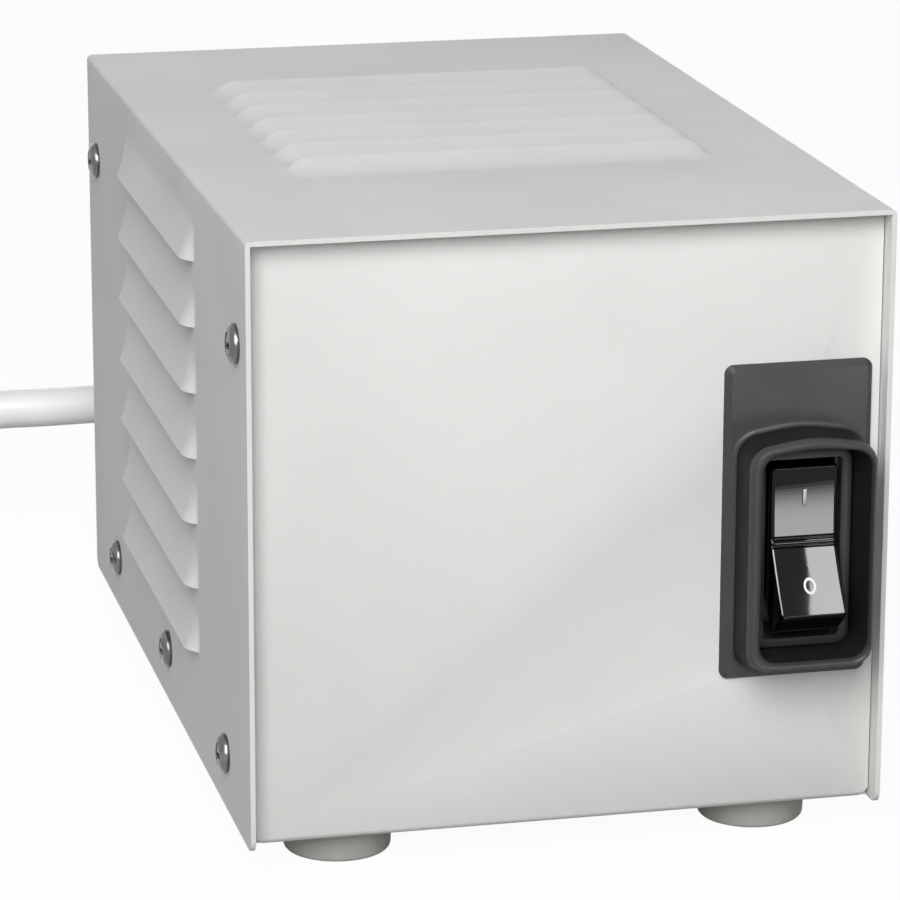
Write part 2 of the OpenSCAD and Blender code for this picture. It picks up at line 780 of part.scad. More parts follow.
// One outlet face seen from behind the panel: a disc with its top and bottom cut flat
module outlet_face(depth, grow) {
  intersection() {
    cylinder(h = depth, d = outlet_face_w + 2 * grow, $fn = round_fn);
    translate([-outlet_face_w, -outlet_face_flat / 2 - grow, -over])
      cube([2 * outlet_face_w, outlet_face_flat + 2 * grow, depth + 2 * over]);
  }
}

// Places of the two outlet faces and of the strap's two screws, with +Z running to the rear
module at_outlets(y) {
  for (s = [-1, 1]) translate([outlet_x, y, outlet_row_z + s * outlet_gap_z / 2])
    rotate([-90, 0, 0]) children();
}

module at_strap_screws(y) {
  for (s = [-1, 1]) translate([outlet_x, y, outlet_row_z + s * strap_screw_gap / 2])
    rotate([-90, 0, 0]) children();
}

// The slots and the earth hole of one outlet, sunk below its face
module outlet_sockets() {
  translate([0, 0, -slot_deep]) {
    for (b = [[slot_gap / 2, slot_tall_h], [-slot_gap / 2, slot_h]])
      translate([b[0] - slot_t / 2, -slot_rise - b[1] / 2, 0]) cube([slot_t, b[1], slot_deep + over]);
    translate([0, ground_drop - slot_rise, 0]) cylinder(h = slot_deep + over, d = ground_hole_d, $fn = round_fn);
  }
}

module receptacle() {
  color("ivory")
  difference() {
    union() {
      translate([outlet_x - outlet_body_w / 2, outlet_back - outlet_body_d, outlet_row_z - outlet_body_h / 2])
        cube([outlet_body_w, outlet_body_d, outlet_body_h]);
      at_outlets(outlet_back - over) outlet_face(outlet_y - outlet_back + over, 0);
    }
    at_outlets(outlet_y) outlet_sockets();
  }
}

// The strap goes round the back of the body, and its two ears lie against the panel
module receptacle_strap() {
  ear = strap_h / 2;
  inside = strap_leg - strap_t;
  plate = strap_t - strap_back;
  color("silver")
  difference() {
    translate([outlet_x, tail_front, outlet_row_z]) rotate([90, 0, 90]) linear_extrude(strap_w, center = true)
      polygon([[0, ear], [-strap_t, ear], [-strap_t, strap_leg], [-strap_back, strap_leg],
        [-strap_back, -strap_leg], [-strap_t, -strap_leg], [-strap_t, -ear], [0, -ear],
        [0, -inside], [plate, -inside], [plate, inside], [0, inside]]);
    at_strap_screws(tail_front) translate([0, 0, -strap_t - over])
      cylinder(h = strap_t + 2 * over, d = strap_screw_d + 2 * pin_play, $fn = round_fn);
  }
}

module receptacle_screws() {
  color("silver")
  at_strap_screws(tail_y)
    pan_screw(strap_head_d, strap_head_h, strap_screw_d, sheet_t + strap_t + screw_past);
}

module receptacle_terminals() {
  color("gold")
  for (x = [0, 1], s = [-1, 1])
    translate([outlet_x, outlet_back - outlet_body_d / 2, outlet_row_z + s * terminal_z])
      mirror([x, 0, 0]) translate([outlet_body_w / 2, 0, 0]) rotate([0, 90, 0])
        cylinder(h = terminal_h, d = terminal_d, $fn = round_fn);
}

module strain_relief() {
  neck = relief_neck_d / 2;
  color("black")
  translate([cord_x, tail_y, cord_z]) rotate([-90, 0, 0]) rotate_extrude($fn = round_fn)
    polygon([[cord_d / 2, -sheet_t - relief_in], [neck - relief_taper, -sheet_t - relief_in], [neck, -sheet_t],
      [neck, 0], [relief_d / 2, 0], [relief_d / 2, relief_flange_t - relief_bevel],
      [relief_d / 2 - relief_bevel, relief_flange_t], [neck, relief_flange_t],
      [relief_tip_d / 2, relief_out], [cord_d / 2, relief_out]]);
}

module power_cord() {
  color("white")
  tube(cord_route, cord_d / 2, cord_sides);
}

module cord_coil() {
  color("white")
  tube(coil_path, cord_d / 2, coil_sides);
}

module cord_tail() {
  color("white")
  tube(tail_route, cord_d / 2, cord_sides);
}

module plug_body() {
  color("white")
  translate(plug_end) rotate([90, 0, 0]) rotate_extrude($fn = round_fn)
    polygon([for (p = plug_shares) [p[1] * plug_r, p[0] * plug_len]]);
}

module plug_pins() {
  color("silver")
  translate([plug_end[0], plug_end[1] - plug_len, plug_end[2]]) {
    for (s = [-1, 1])
      translate([s * slot_gap / 2 - blade_t / 2, -blade_len, plug_blade_rise - blade_w / 2])
        cube([blade_t, blade_len, blade_w]);
    translate([0, 0, plug_blade_rise - ground_drop]) rotate([90, 0, 0]) {
      cylinder(h = earth_len - earth_d / 2, d = earth_d, $fn = round_fn);
      translate([0, 0, earth_len - earth_d / 2]) sphere(d = earth_d, $fn = round_fn);
    }
  }
}

module core() {
  color("slategray")
  difference() {
    translate([-core_w / 2, core_y - core_stack / 2, core_z]) cube([core_w, core_stack, core_h]);
    both_sides() translate([leg_w / 2, core_y - core_stack / 2 - over, core_z + yoke_h])
      cube([window_w, core_stack + 2 * over, window_h]);
    for (z = [0, 1]) at_bolts(z) translate([0, 0, -core_stack / 2 - over])
      cylinder(h = core_stack + 2 * over, d = bolt_d + 2 * hole_play, $fn = round_fn);
  }
}

// Places of the lower or upper pair of core bolts: on the core's middle plane, with +Z running to the rear
module at_bolts(z) {
  both_sides() translate([core_w / 2 - bolt_inset, core_y, core_z + (z ? core_h - bolt_inset : bolt_inset)])
    rotate([-90, 0, 0]) children();
}

// A rounded rectangle in plan about the core's middle leg
module leg_plan(x, y, r) {
  square([2 * x - 2 * r, 2 * y], center = true);
  square([2 * x, 2 * y - 2 * r], center = true);
  for (i = [-1, 1], j = [-1, 1]) translate([i * (x - r), j * (y - r)]) circle(r, $fn = round_fn);
}

module bobbin() {
  color("tan")
  translate([0, core_y, bobbin_z]) difference() {
    union() {
      linear_extrude(bobbin_h) leg_plan(tube_x, tube_y, bobbin_t);
      for (i = [0:2]) translate([0, 0, i * (section_h + bobbin_t)]) linear_extrude(bobbin_t)
        leg_plan(leg_w / 2 + window_w - bobbin_play, wound_y + bobbin_t, winding_round);
    }
    translate([-leg_w / 2 - bobbin_play, -core_stack / 2 - bobbin_play, -over])
      cube([leg_w + 2 * bobbin_play, core_stack + 2 * bobbin_play, bobbin_h + 2 * over]);
  }
}

// A winding that fills one half of the bobbin, as a ring round the middle leg
module winding(z, x_in, y_in, x_out, y_out) {
  translate([0, core_y, z]) linear_extrude(section_h) difference() {
    leg_plan(x_out, y_out, winding_round);
    leg_plan(x_in, y_in, bobbin_t);
  }
}

module primary_winding() {
  color("peru")
  winding(bobbin_z + bobbin_t, tube_x, tube_y, wound_x, wound_y);
}

module secondary_winding() {
  color("peru")
  winding(bobbin_z + bobbin_h - bobbin_t - section_h, tube_x, tube_y, wound_x, wound_y);
}

module winding_wrap() {
  color("khaki")
  for (z = [bobbin_z + bobbin_t, bobbin_z + bobbin_h - bobbin_t - section_h])
    translate([0, core_y, z]) linear_extrude(section_h) difference() {
      leg_plan(wound_x + wrap_t, wound_y + wrap_t, winding_round + wrap_t);
      leg_plan(wound_x, wound_y, winding_round);
    }
}

module core_brackets() {
  color("silver")
  for (s = [0, 1]) translate([0, core_y, deck_z]) mirror([0, s, 0])
    translate([0, core_stack / 2, 0]) difference() {
      union() {
        translate([-core_w / 2, 0, 0]) cube([core_w, bracket_t, bracket_t + bracket_h]);
        translate([-core_w / 2, 0, 0]) cube([core_w, bracket_foot, bracket_t]);
      }
      for (x = [-1, 1]) {
        translate([x * (core_w / 2 - bolt_inset), -over, bracket_t + bolt_inset]) rotate([-90, 0, 0])
          cylinder(h = bracket_t + 2 * over, d = bolt_d + 2 * hole_play, $fn = round_fn);
        translate([x * mount_x, bracket_foot - mount_out, -over])
          cylinder(h = bracket_t + 2 * over, d = mount_screw_d + 2 * hole_play, $fn = round_fn);
      }
    }
}

// Half the clamped length at a bolt: the lower bolts also hold the brackets
function grip(z) = core_stack / 2 + (z ? 0 : bracket_t) + washer_t;

module core_bolts() {
  color("silver")
  for (z = [0, 1]) at_bolts(z) {
    translate([0, 0, -grip(z)]) cylinder(h = 2 * grip(z) + bolt_out, d = bolt_d, $fn = round_fn);
    translate([0, 0, -grip(z) - bolt_head_h]) cylinder(h = bolt_head_h, d = nut_w / cos(30), $fn = 6);
  }
}

module core_nuts() {
  color("silver")
  for (z = [0, 1]) at_bolts(z) translate([0, 0, grip(z)]) hex_nut(nut_w, nut_h, bolt_d + 2 * pin_play);
}

module core_washers() {
  color("silver")
  for (z = [0, 1], s = [0, 1]) at_bolts(z) mirror([0, 0, s]) translate([0, 0, grip(z) - washer_t])
    washer(washer_d, washer_t, bolt_d + 2 * pin_play);
}

// Places of the four screws that hold the brackets, at floor level
module at_mounts() {
  for (x = [-mount_x, mount_x], s = [-1, 1])
    translate([x, core_y + s * (core_stack / 2 + bracket_foot - mount_out), 0]) children();
}

module bracket_screws() {
  color("silver")
  at_mounts() translate([0, 0, floor_z]) mirror([0, 0, 1])
    pan_screw(mount_head_d, mount_head_h, mount_screw_d, sheet_t + bracket_t + screw_past);
}

module bracket_nuts() {
  color("silver")
  at_mounts() translate([0, 0, deck_z + bracket_t])
    hex_nut(small_nut_w, small_nut_h, mount_screw_d + 2 * pin_play);
}

// Places on the ground stud's axis, at floor level
module at_stud() {
  translate([stud_x, rear_y - stud_from_rear, 0]) children();
}

module ground_stud() {
  color("silver")
  at_stud() translate([0, 0, floor_z]) mirror([0, 0, 1])
    pan_screw(mount_head_d, mount_head_h, stud_d, sheet_t + 2 * lug_t + small_nut_h + screw_past / 2);
}

module ground_lugs() {
  color("gold")
  at_stud() for (i = [0, 1]) translate([0, 0, deck_z + i * (lug_t + seat_gap)]) difference() {
    union() {
      cylinder(h = lug_t, d = lug_d, $fn = round_fn);
      rotate(i ? 60 : 10) translate([0, -lead_d, 0]) cube([lug_d, 2 * lead_d, lug_t]);
    }
    translate([0, 0, -over]) cylinder(h = lug_t + 2 * over, d = stud_d + 2 * pin_play, $fn = round_fn);
  }
}

module ground_nut() {
  color("silver")
  at_stud() translate([0, 0, lug_top]) hex_nut(small_nut_w, small_nut_h, stud_d + 2 * pin_play);
}

module lead(points) {
  tube(points, lead_d / 2, lead_sides);
}

module line_leads() {
  color("dimgray") {
    lead([cord_cut + [-lead_lay, 0, lead_lay / 2], cord_cut + [-lead_lay, -lead_turn, lead_lay / 2],
      [-side_x + lead_turn, cord_cut[1] - 2 * lead_turn, cord_z - lead_turn],
      [-side_x, core_y + core_stack / 2, cord_z - lead_turn],
      [-side_x, core_y - core_stack / 2, cord_z - lead_turn],
      [-side_x + lead_turn, front_coil_y - lead_turn, cord_z],
      [0, (front_coil_y + tab_top[1]) / 2, tab_top[2]], tab_top + [0, lead_turn, 0], tab_top]);
    lead([tab_low, tab_low + [0, lead_turn, 0],
      [leg_w / 2, front_coil_y - lead_turn, primary_z], [leg_w / 2, front_coil_y, primary_z]]);
    lead([[-leg_w / 2, rear_coil_y, secondary_z], [-leg_w / 2, rear_coil_y + lead_turn, secondary_z],
      [outlet_x - screw_x - lead_turn, terminal_y - lead_turn, secondary_z],
      [outlet_x - screw_x - lead_turn, terminal_y, outlet_row_z + terminal_z],
      [outlet_x - screw_x, terminal_y, outlet_row_z + terminal_z]]);
  }
}

module neutral_leads() {
  color("white") {
    lead([cord_cut + [lead_lay, 0, lead_lay / 2], cord_cut + [lead_lay, -lead_turn / 2, lead_lay / 2],
      cord_cut + [-lead_turn, -lead_turn, lead_turn],
      [-side_x + lead_turn, cord_cut[1] - 2 * lead_turn, cord_z + lead_turn / 2],
      [-side_x, core_y + core_stack / 2, cord_z + lead_turn / 2],
      [-side_x, core_y - core_stack / 2, cord_z + lead_turn / 2],
      [-side_x + lead_turn, front_coil_y, primary_z + lane],
      [-leg_w / 2, front_coil_y - lead_turn, primary_z], [-leg_w / 2, front_coil_y, primary_z]]);
    lead([[leg_w / 2, rear_coil_y, secondary_z], [leg_w / 2, rear_coil_y + lead_turn, secondary_z],
      [outlet_x + screw_x + lead_turn, terminal_y - lead_turn, secondary_z],
      [outlet_x + screw_x + lead_turn, terminal_y, outlet_row_z + terminal_z],
      [outlet_x + screw_x, terminal_y, outlet_row_z + terminal_z]]);
  }
}

module ground_leads() {
  lug_y = rear_y - stud_from_rear;
  wire_z = lug_top + lead_d / 2;
  plate_y = tail_front - strap_back;
  plate_z = outlet_row_z - 2 * terminal_z;
  color("green") {
    lead([cord_cut + [0, 0, -lead_lay], cord_cut + [0, -lead_turn / 2, -lead_lay],
      cord_cut + [-lead_turn / 2, -2 * lead_turn, -lead_turn],
      [stud_x + 2 * lug_d, lug_y + lead_turn / 2, wire_z + lead_turn],
      [stud_x + lug_d + lead_d, lug_y, wire_z + lead_d / 4]]);
    lead([[stud_x + lug_d, lug_y + lug_d, wire_z], [stud_x + 2 * lug_d, lug_y + lug_d, wire_z + lead_turn / 2],
      [0, lug_y, wire_z + lead_turn], [outlet_x - lead_turn, lug_y, wire_z + 2 * lead_turn],
      [outlet_x, plate_y - lead_turn, plate_z], [outlet_x, plate_y, plate_z]]);
  }
}

cover();
chassis();
cover_screws();
cover_nuts();
feet();
foot_screws();
foot_nuts();
switch_guard();
rocker_frame();
rocker();
rocker_pin();
breaker_body();
breaker_terminals();
breaker_screws();
receptacle();
receptacle_strap();
receptacle_screws();
receptacle_terminals();
strain_relief();
power_cord();
cord_coil();
cord_tail();
plug_body();
plug_pins();
core();
bobbin();
primary_winding();
secondary_winding();
winding_wrap();
core_brackets();
core_bolts();
core_nuts();
core_washers();
bracket_screws();
bracket_nuts();
ground_stud();
ground_lugs();
ground_nut();
line_leads();
neutral_leads();
ground_leads();
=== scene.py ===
import json
import math

import bmesh
import bpy
import numpy as np
from mathutils import Matrix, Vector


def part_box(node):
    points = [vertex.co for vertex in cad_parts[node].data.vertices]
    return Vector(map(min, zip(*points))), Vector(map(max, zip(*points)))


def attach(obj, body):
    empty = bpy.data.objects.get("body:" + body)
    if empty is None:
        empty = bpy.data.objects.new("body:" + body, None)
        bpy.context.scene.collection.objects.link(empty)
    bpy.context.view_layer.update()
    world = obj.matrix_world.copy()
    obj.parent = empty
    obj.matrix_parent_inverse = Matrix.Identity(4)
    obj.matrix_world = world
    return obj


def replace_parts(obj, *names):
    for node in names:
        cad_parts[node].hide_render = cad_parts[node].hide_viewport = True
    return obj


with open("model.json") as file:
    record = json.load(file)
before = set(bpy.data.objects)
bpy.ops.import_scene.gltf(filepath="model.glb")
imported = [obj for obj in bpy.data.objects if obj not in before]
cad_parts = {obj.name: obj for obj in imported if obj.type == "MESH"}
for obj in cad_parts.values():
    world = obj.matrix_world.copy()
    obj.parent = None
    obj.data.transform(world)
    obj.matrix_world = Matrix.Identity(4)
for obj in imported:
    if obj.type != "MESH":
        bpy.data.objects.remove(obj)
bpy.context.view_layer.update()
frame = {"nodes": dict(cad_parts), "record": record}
nodes = frame["nodes"]
mm = 0.001
skyward = (0, 0, 1)

# The case's own measures in millimetres, as in the CAD source
case = {"halfWidth": 76.0, "frontY": -114.293, "rearY": 117.707, "lowZ": 8.0, "topZ": 152.6, "sheet": 1.2,
        "bend": 1.35, "corner": 3.0, "panelInset": 4.75}
panelY = case["frontY"] + case["panelInset"]
tailY = case["rearY"] - case["panelInset"]

# The camera's right, up and backward axes, its place and its lens, solved from the photograph's edges
shot = {"right": (0.974196, -0.225698, 0.001426), "up": (0.059202, 0.261624, 0.963353),
        "back": (-0.2178, -0.93841, 0.268235), "place": (-0.248124, -1.044193, 0.370447), "sensor": 36,
        "lens": 174.948, "shiftX": 0.014778, "shiftY": -0.011847, "near": 0.05, "far": 20}


def addObject(name, data):
    # A new object in the scene at the origin
    holder = bpy.data.objects.new(name, data)
    bpy.context.scene.collection.objects.link(holder)
    return holder


def placeByAxes(holder, right, up, back, place):
    # The object's matrix has its three axes and its place as columns
    holder.matrix_world = Matrix([[right[i], up[i], back[i], place[i]] for i in range(3)] + [[0, 0, 0, 1]])


def addCamera():
    # A camera looks along its own -Z, so its third axis points backwards
    camera = bpy.data.cameras.new("photoCamera")
    camera.sensor_fit = "HORIZONTAL"
    camera.sensor_width = shot["sensor"]
    camera.lens = shot["lens"]
    camera.shift_x = shot["shiftX"]
    camera.shift_y = shot["shiftY"]
    camera.clip_start = shot["near"]
    camera.clip_end = shot["far"]
    holder = addObject("photoCamera", camera)
    placeByAxes(holder, shot["right"], shot["up"], shot["back"], shot["place"])
    bpy.context.scene.camera = holder


def hexColour(text):
    # A channel below 0.04045 is divided by 12.92, any other is ((c + 0.055) / 1.055) ** 2.4
    srgb = np.array([int(text[i:i + 2], 16) for i in (1, 3, 5)]) / 255
    linear = np.where(srgb < 0.04045, srgb / 12.92, ((srgb + 0.055) / 1.055) ** 2.4)
    return (*linear.tolist(), 1.0)


def emptyTree(holder):
    # The node tree of a material or world, with its first nodes taken out
    holder.use_nodes = True
    holder.node_tree.nodes.clear()
    return holder.node_tree


def addNode(tree, kind, inputs=None, **settings):
    # Adds a node with its settings; an input given as (node, output) is linked, any other is a value
    node = tree.nodes.new(kind)
    for name, value in settings.items():
        setattr(node, name, value)
    for name, value in (inputs or {}).items():
        if isinstance(value, tuple) and isinstance(value[0], bpy.types.Node):
            tree.links.new(value[0].outputs[value[1]], node.inputs[name])
        else:
            node.inputs[name].default_value = value
    return node


def finish(name, look, pattern=None):
    # Colour = mix of two tones by patches * (1 + speck / 2 - speck * grain); roughness follows the patches
    # and relief the grain. A pattern mixes the tones instead of the patches, and is the relief where raised
    material = bpy.data.materials.new(name)
    tree = emptyTree(material)
    coords = (addNode(tree, "ShaderNodeTexCoord"), "Object")
    patches = addNode(tree, "ShaderNodeTexNoise", {"Vector": coords, "Scale": 1 / (look["patchMm"] * mm),
                                                   "Detail": 3.0, "Roughness": 0.55})
    grain = addNode(tree, "ShaderNodeTexNoise", {"Vector": coords, "Scale": 1 / (look["grainMm"] * mm),
                                                 "Detail": 2.0, "Roughness": 0.6})
    blend = addNode(tree, "ShaderNodeMapRange", {"Value": (patches, "Fac"), "From Min": 0.3,
                                                 "From Max": 0.7})
    height = (grain, "Fac")
    factor = (blend, "Result")
    if pattern:
        factor = pattern(tree, coords)
        height = factor if look.get("raised") else height
    colour = addNode(tree, "ShaderNodeMix", {"Factor": factor}, data_type="RGBA")
    # this mix has its colours at sockets 6 and 7 and gives them mixed at 2
    colour.inputs[6].default_value = hexColour(look["tones"][0])
    colour.inputs[7].default_value = hexColour(look["tones"][1])
    amount = look.get("speck", 0.0)
    speck = addNode(tree, "ShaderNodeMath", {0: (grain, "Fac"), 1: amount}, operation="MULTIPLY")
    shade = addNode(tree, "ShaderNodeMath", {0: 1 + amount / 2, 1: (speck, "Value")}, operation="SUBTRACT")
    toned = addNode(tree, "ShaderNodeVectorMath", {0: (colour, 2), "Scale": (shade, "Value")},
                    operation="SCALE")
    rough = addNode(tree, "ShaderNodeMapRange", {"Value": (patches, "Fac"), "From Min": 0.3, "From Max": 0.7,
                                                 "To Min": look["rough"][0], "To Max": look["rough"][1]})
    relief = addNode(tree, "ShaderNodeBump", {"Height": height, "Strength": look.get("strength", 0.5),
                                              "Distance": look["reliefMm"] * mm})
    surface = addNode(tree, "ShaderNodeBsdfPrincipled",
                      {"Base Color": (toned, "Vector"), "Roughness": (rough, "Result"),
                       "Metallic": look.get("metallic", 0.0), "Normal": (relief, "Normal")})
    if "ior" in look:
        surface.inputs["IOR"].default_value = look["ior"]
    if "specular" in look:
        surface.inputs["Specular IOR Level"].default_value = look["specular"]
    addNode(tree, "ShaderNodeOutputMaterial", {"Surface": (surface, "BSDF")})
    return material


bands = {"laminationMm": 1.6, "turnMm": 1.1, "spangleMm": 6.0}


def bandScale(width):
    # A wave texture's light and dark bands are each about as wide as given where scale = 1 / (2 pi * width)
    return 1 / (width * mm) / (2 * math.pi)


def laminations(tree, coords):
    # 0.5 mm steel sheets stacked along Y: drawn 1.6 mm thick so that they show
    stack = addNode(tree, "ShaderNodeTexWave", {"Vector": coords, "Scale": bandScale(bands["laminationMm"]),
                                                "Distortion": 0.4, "Detail": 1.0}, bands_direction="Y")
    return stack, "Fac"


def wireTurns(tree, coords):
    # Wire of 1 mm lies level round the bobbin: bands along Z, drawn twice as wide so that they show
    turns = addNode(tree, "ShaderNodeTexWave", {"Vector": coords, "Scale": bandScale(bands["turnMm"]),
                                                "Distortion": 0.15}, bands_direction="Z")
    return turns, "Fac"


def spangle(tree, coords):
    # Zinc crystals of about 6 mm on galvanised sheet
    crystals = addNode(tree, "ShaderNodeTexVoronoi", {"Vector": coords,
                                                      "Scale": 1 / (bands["spangleMm"] * mm)})
    value = addNode(tree, "ShaderNodeSeparateColor", {"Color": (crystals, "Color")})
    return value, "Red"


looks = {
    # powder coat on steel: a satin off-white skin with a fine orange-peel grain
    "powderCoatedSteel": {"tones": ("#dfdedc", "#dbdad8"), "patchMm": 45, "grainMm": 1.1, "reliefMm": 0.05,
                          "strength": 0.35, "rough": (0.6, 0.68), "speck": 0.03, "specular": 0.12},
    # bright zinc plate on steel screws: a soft, neutral shine with small dull patches
    "zincPlatedSteel": {"tones": ("#7e7f7e", "#636462"), "patchMm": 3, "grainMm": 0.5, "reliefMm": 0.02,
                        "rough": (0.2, 0.32), "metallic": 1.0},
    # galvanised sheet: crystals of zinc give flat patches of different shine
    "galvanisedSteel": {"tones": ("#b4b6b7", "#9da0a2"), "patchMm": 8, "grainMm": 0.7, "reliefMm": 0.02,
                        "rough": (0.32, 0.5), "metallic": 1.0},
    # moulded grey rubber: matt, with a faint bloom and a fine grain
    "mouldedRubber": {"tones": ("#aeafa7", "#a4a59e"), "patchMm": 7, "grainMm": 0.6, "reliefMm": 0.06,
                      "rough": (0.7, 0.82), "speck": 0.06},
    # spark-eroded ABS: a fine satin texture on charcoal plastic
    "texturedAbs": {"tones": ("#424345", "#3d3e40"), "patchMm": 18, "grainMm": 0.5, "reliefMm": 0.05,
                    "rough": (0.38, 0.46), "speck": 0.05, "ior": 1.27},
    # polished nylon: deep black with a clear shine and faint flow waves
    "polishedNylon": {"tones": ("#050506", "#080809"), "patchMm": 14, "grainMm": 2.5, "reliefMm": 0.01,
                      "strength": 0.06, "rough": (0.015, 0.03), "ior": 1.3},
    # moulded nylon: satin black
    "mouldedNylon": {"tones": ("#2e2f30", "#353637"), "patchMm": 12, "grainMm": 0.6, "reliefMm": 0.03,
                     "rough": (0.4, 0.52), "speck": 0.04, "ior": 1.25},
    # the same ABS on the collar's walls, drawn smooth from the mould, so with less relief; its deeper tone
    # is painted shade on walls that lie in shade
    "paintedShadeAbs": {"tones": ("#212223", "#1c1d1e"), "patchMm": 18, "grainMm": 0.5, "reliefMm": 0.03,
                 "rough": (0.42, 0.5), "speck": 0.03, "specular": 0.06},
    # pad-printed white ink: matt and thin
    "printedInk": {"tones": ("#f6f6f4", "#ececea"), "patchMm": 1.5, "grainMm": 0.3, "reliefMm": 0.01,
                   "rough": (0.5, 0.6)},
    # the same ink, greyed, for the I mark
    "greyedInk": {"tones": ("#c4c4c2", "#b8b8b6"), "patchMm": 1.5, "grainMm": 0.3, "reliefMm": 0.01,
                  "rough": (0.5, 0.6)},
    # moulded polycarbonate: smooth warm white
    "mouldedPolycarbonate": {"tones": ("#e4e0d5", "#dedacf"), "patchMm": 15, "grainMm": 0.8,
                             "reliefMm": 0.01, "rough": (0.26, 0.34)},
    # the walls of the outlets' slots, where little light falls: drawn deeper than the face round them
    "shadedPolycarbonate": {"tones": ("#4c4941", "#423f38"), "patchMm": 4, "grainMm": 0.8, "reliefMm": 0.01,
                            "rough": (0.5, 0.6)},
    # stamped brass: warm metal with fine drawn marks
    "stampedBrass": {"tones": ("#c9a85e", "#b8954d"), "patchMm": 3, "grainMm": 0.4, "reliefMm": 0.02,
                     "rough": (0.25, 0.4), "metallic": 1.0},
    # extruded PVC: a soft white jacket, slightly waxy, with faint ripples
    "extrudedPvc": {"tones": ("#f6f6f8", "#eeeef1"), "patchMm": 22, "grainMm": 1.4, "reliefMm": 0.04,
                    "rough": (0.38, 0.48)},
    # nickel plate on brass blades: a clear, slightly warm shine
    "nickelPlate": {"tones": ("#cdc9c0", "#c0bcb3"), "patchMm": 4, "grainMm": 0.5, "reliefMm": 0.01,
                    "rough": (0.16, 0.26), "metallic": 1.0},
    # varnished electrical steel: dark sheets whose edges shine in turn
    "varnishedLaminations": {"tones": ("#2c2e32", "#464a50"), "patchMm": 12, "grainMm": 0.9,
                             "reliefMm": 0.12, "raised": True, "rough": (0.35, 0.55)},
    # glass-filled nylon bobbin: sand-coloured, satin, with a fine grain
    "glassFilledNylon": {"tones": ("#cdbf9c", "#c2b38e"), "patchMm": 9, "grainMm": 0.6, "reliefMm": 0.03,
                         "rough": (0.45, 0.6)},
    # enamelled copper wire: red-brown turns with light ridges
    "enamelledCopper": {"tones": ("#8a4526", "#c77447"), "patchMm": 6, "grainMm": 0.8, "reliefMm": 0.25,
                        "raised": True, "rough": (0.22, 0.34), "metallic": 1.0},
    # polyester tape: glossy amber film over the turns
    "polyesterTape": {"tones": ("#d3b040", "#c7a337"), "patchMm": 10, "grainMm": 2.0, "reliefMm": 0.08,
                      "rough": (0.16, 0.28)},
}
# PVC insulation on the leads: plain colours with a low, even shine
for name, tones in {"blackInsulation": ("#161617", "#1d1d1e"), "whiteInsulation": ("#e6e6e2", "#dcdcd8"),
                    "greenInsulation": ("#1d6b31", "#19602b")}.items():
    looks[name] = {"tones": tones, "patchMm": 8, "grainMm": 0.8, "reliefMm": 0.02, "rough": (0.35, 0.45)}
patterns = {"varnishedLaminations": laminations, "enamelledCopper": wireTurns, "galvanisedSteel": spangle}
finishes = {name: finish(name, look, patterns.get(name)) for name, look in looks.items()}
slotFinishes = {"case_coat": "powderCoatedSteel", "zinc_steel": "zincPlatedSteel",
                "bracket_steel": "galvanisedSteel", "foot_rubber": "mouldedRubber",
                "guard_plastic": "texturedAbs", "rocker_plastic": "polishedNylon",
                "frame_plastic": "mouldedNylon", "outlet_plastic": "mouldedPolycarbonate",
                "terminal_brass": "stampedBrass", "cord_jacket": "extrudedPvc", "plug_metal": "nickelPlate",
                "core_steel": "varnishedLaminations", "bobbin_nylon": "glassFilledNylon",
                "winding_copper": "enamelledCopper", "wrap_tape": "polyesterTape",
                "lead_black": "blackInsulation", "lead_white": "whiteInsulation",
                "lead_green": "greenInsulation"}
nodeSlots = {part["node"]: part["material_slot"] for part in frame["record"]["subparts"]}
for name, node in nodes.items():
    node.data.materials.clear()
    node.data.materials.append(finishes[slotFinishes[nodeSlots[name]]])
print("materials ready")

# What the shape functions share; the weld's reach is in metres
shaping = {"weldReach": 2e-6, "flatDegrees": 0.5, "bevelDegrees": 40, "copyDegrees": 35, "roundSides": 64}


def gridQuads(rows, columns, rowsClosed=False, columnsClosed=True):
    # Each quad joins point (i, j) to (i, j+1), (i+1, j+1) and (i+1, j); a closed direction wraps round
    i, j = np.meshgrid(np.arange(rows if rowsClosed else rows - 1),
                       np.arange(columns if columnsClosed else columns - 1), indexing="ij")
    nextI, nextJ = (i + 1) % rows, (j + 1) % columns
    return np.stack([i * columns + j, i * columns + nextJ, nextI * columns + nextJ, nextI * columns + j],
                    axis=-1).reshape(-1, 4)


def weld(mesh, outwards=False, flat=False):
    # Joins doubles, then turns all faces outwards or joins those that lie in one plane, and shades smooth
    work = bmesh.new()
    work.from_mesh(mesh)
    bmesh.ops.remove_doubles(work, verts=work.verts, dist=shaping["weldReach"])
    if outwards:
        bmesh.ops.recalc_face_normals(work, faces=work.faces)
    if flat:
        bmesh.ops.dissolve_limit(work, angle_limit=math.radians(shaping["flatDegrees"]), verts=work.verts,
                                 edges=work.edges)
    work.to_mesh(mesh)
    work.free()
    mesh.polygons.foreach_set("use_smooth", np.ones(len(mesh.polygons), dtype=bool))


def addPiece(name, points, slot, body="base", material=None, rowsClosed=False, quads=None):
    # A grid of points in millimetres becomes a skin closed round its columns; one with its own quads is open
    closed = quads is None
    if closed:
        quads = gridQuads(*points.shape[:2], rowsClosed)
    mesh = bpy.data.meshes.new(name)
    mesh.from_pydata((points.reshape(-1, 3) * mm).tolist(), [], quads.tolist())
    weld(mesh, outwards=closed)
    mesh.materials.append(material or finishes[slotFinishes[slot]])
    piece = addObject(name, mesh)
    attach(piece, body)
    return piece


def roundEdges(piece, width, degrees=shaping["bevelDegrees"], segments=2, clamped=True):
    # Rounds every edge sharper than the angle, with hardened normals so that flats stay flat
    bevel = piece.modifiers.new("edges", "BEVEL")
    bevel.width = width * mm
    bevel.segments = segments
    bevel.limit_method = "ANGLE"
    bevel.angle_limit = math.radians(degrees)
    bevel.harden_normals = True
    bevel.use_clamp_overlap = clamped


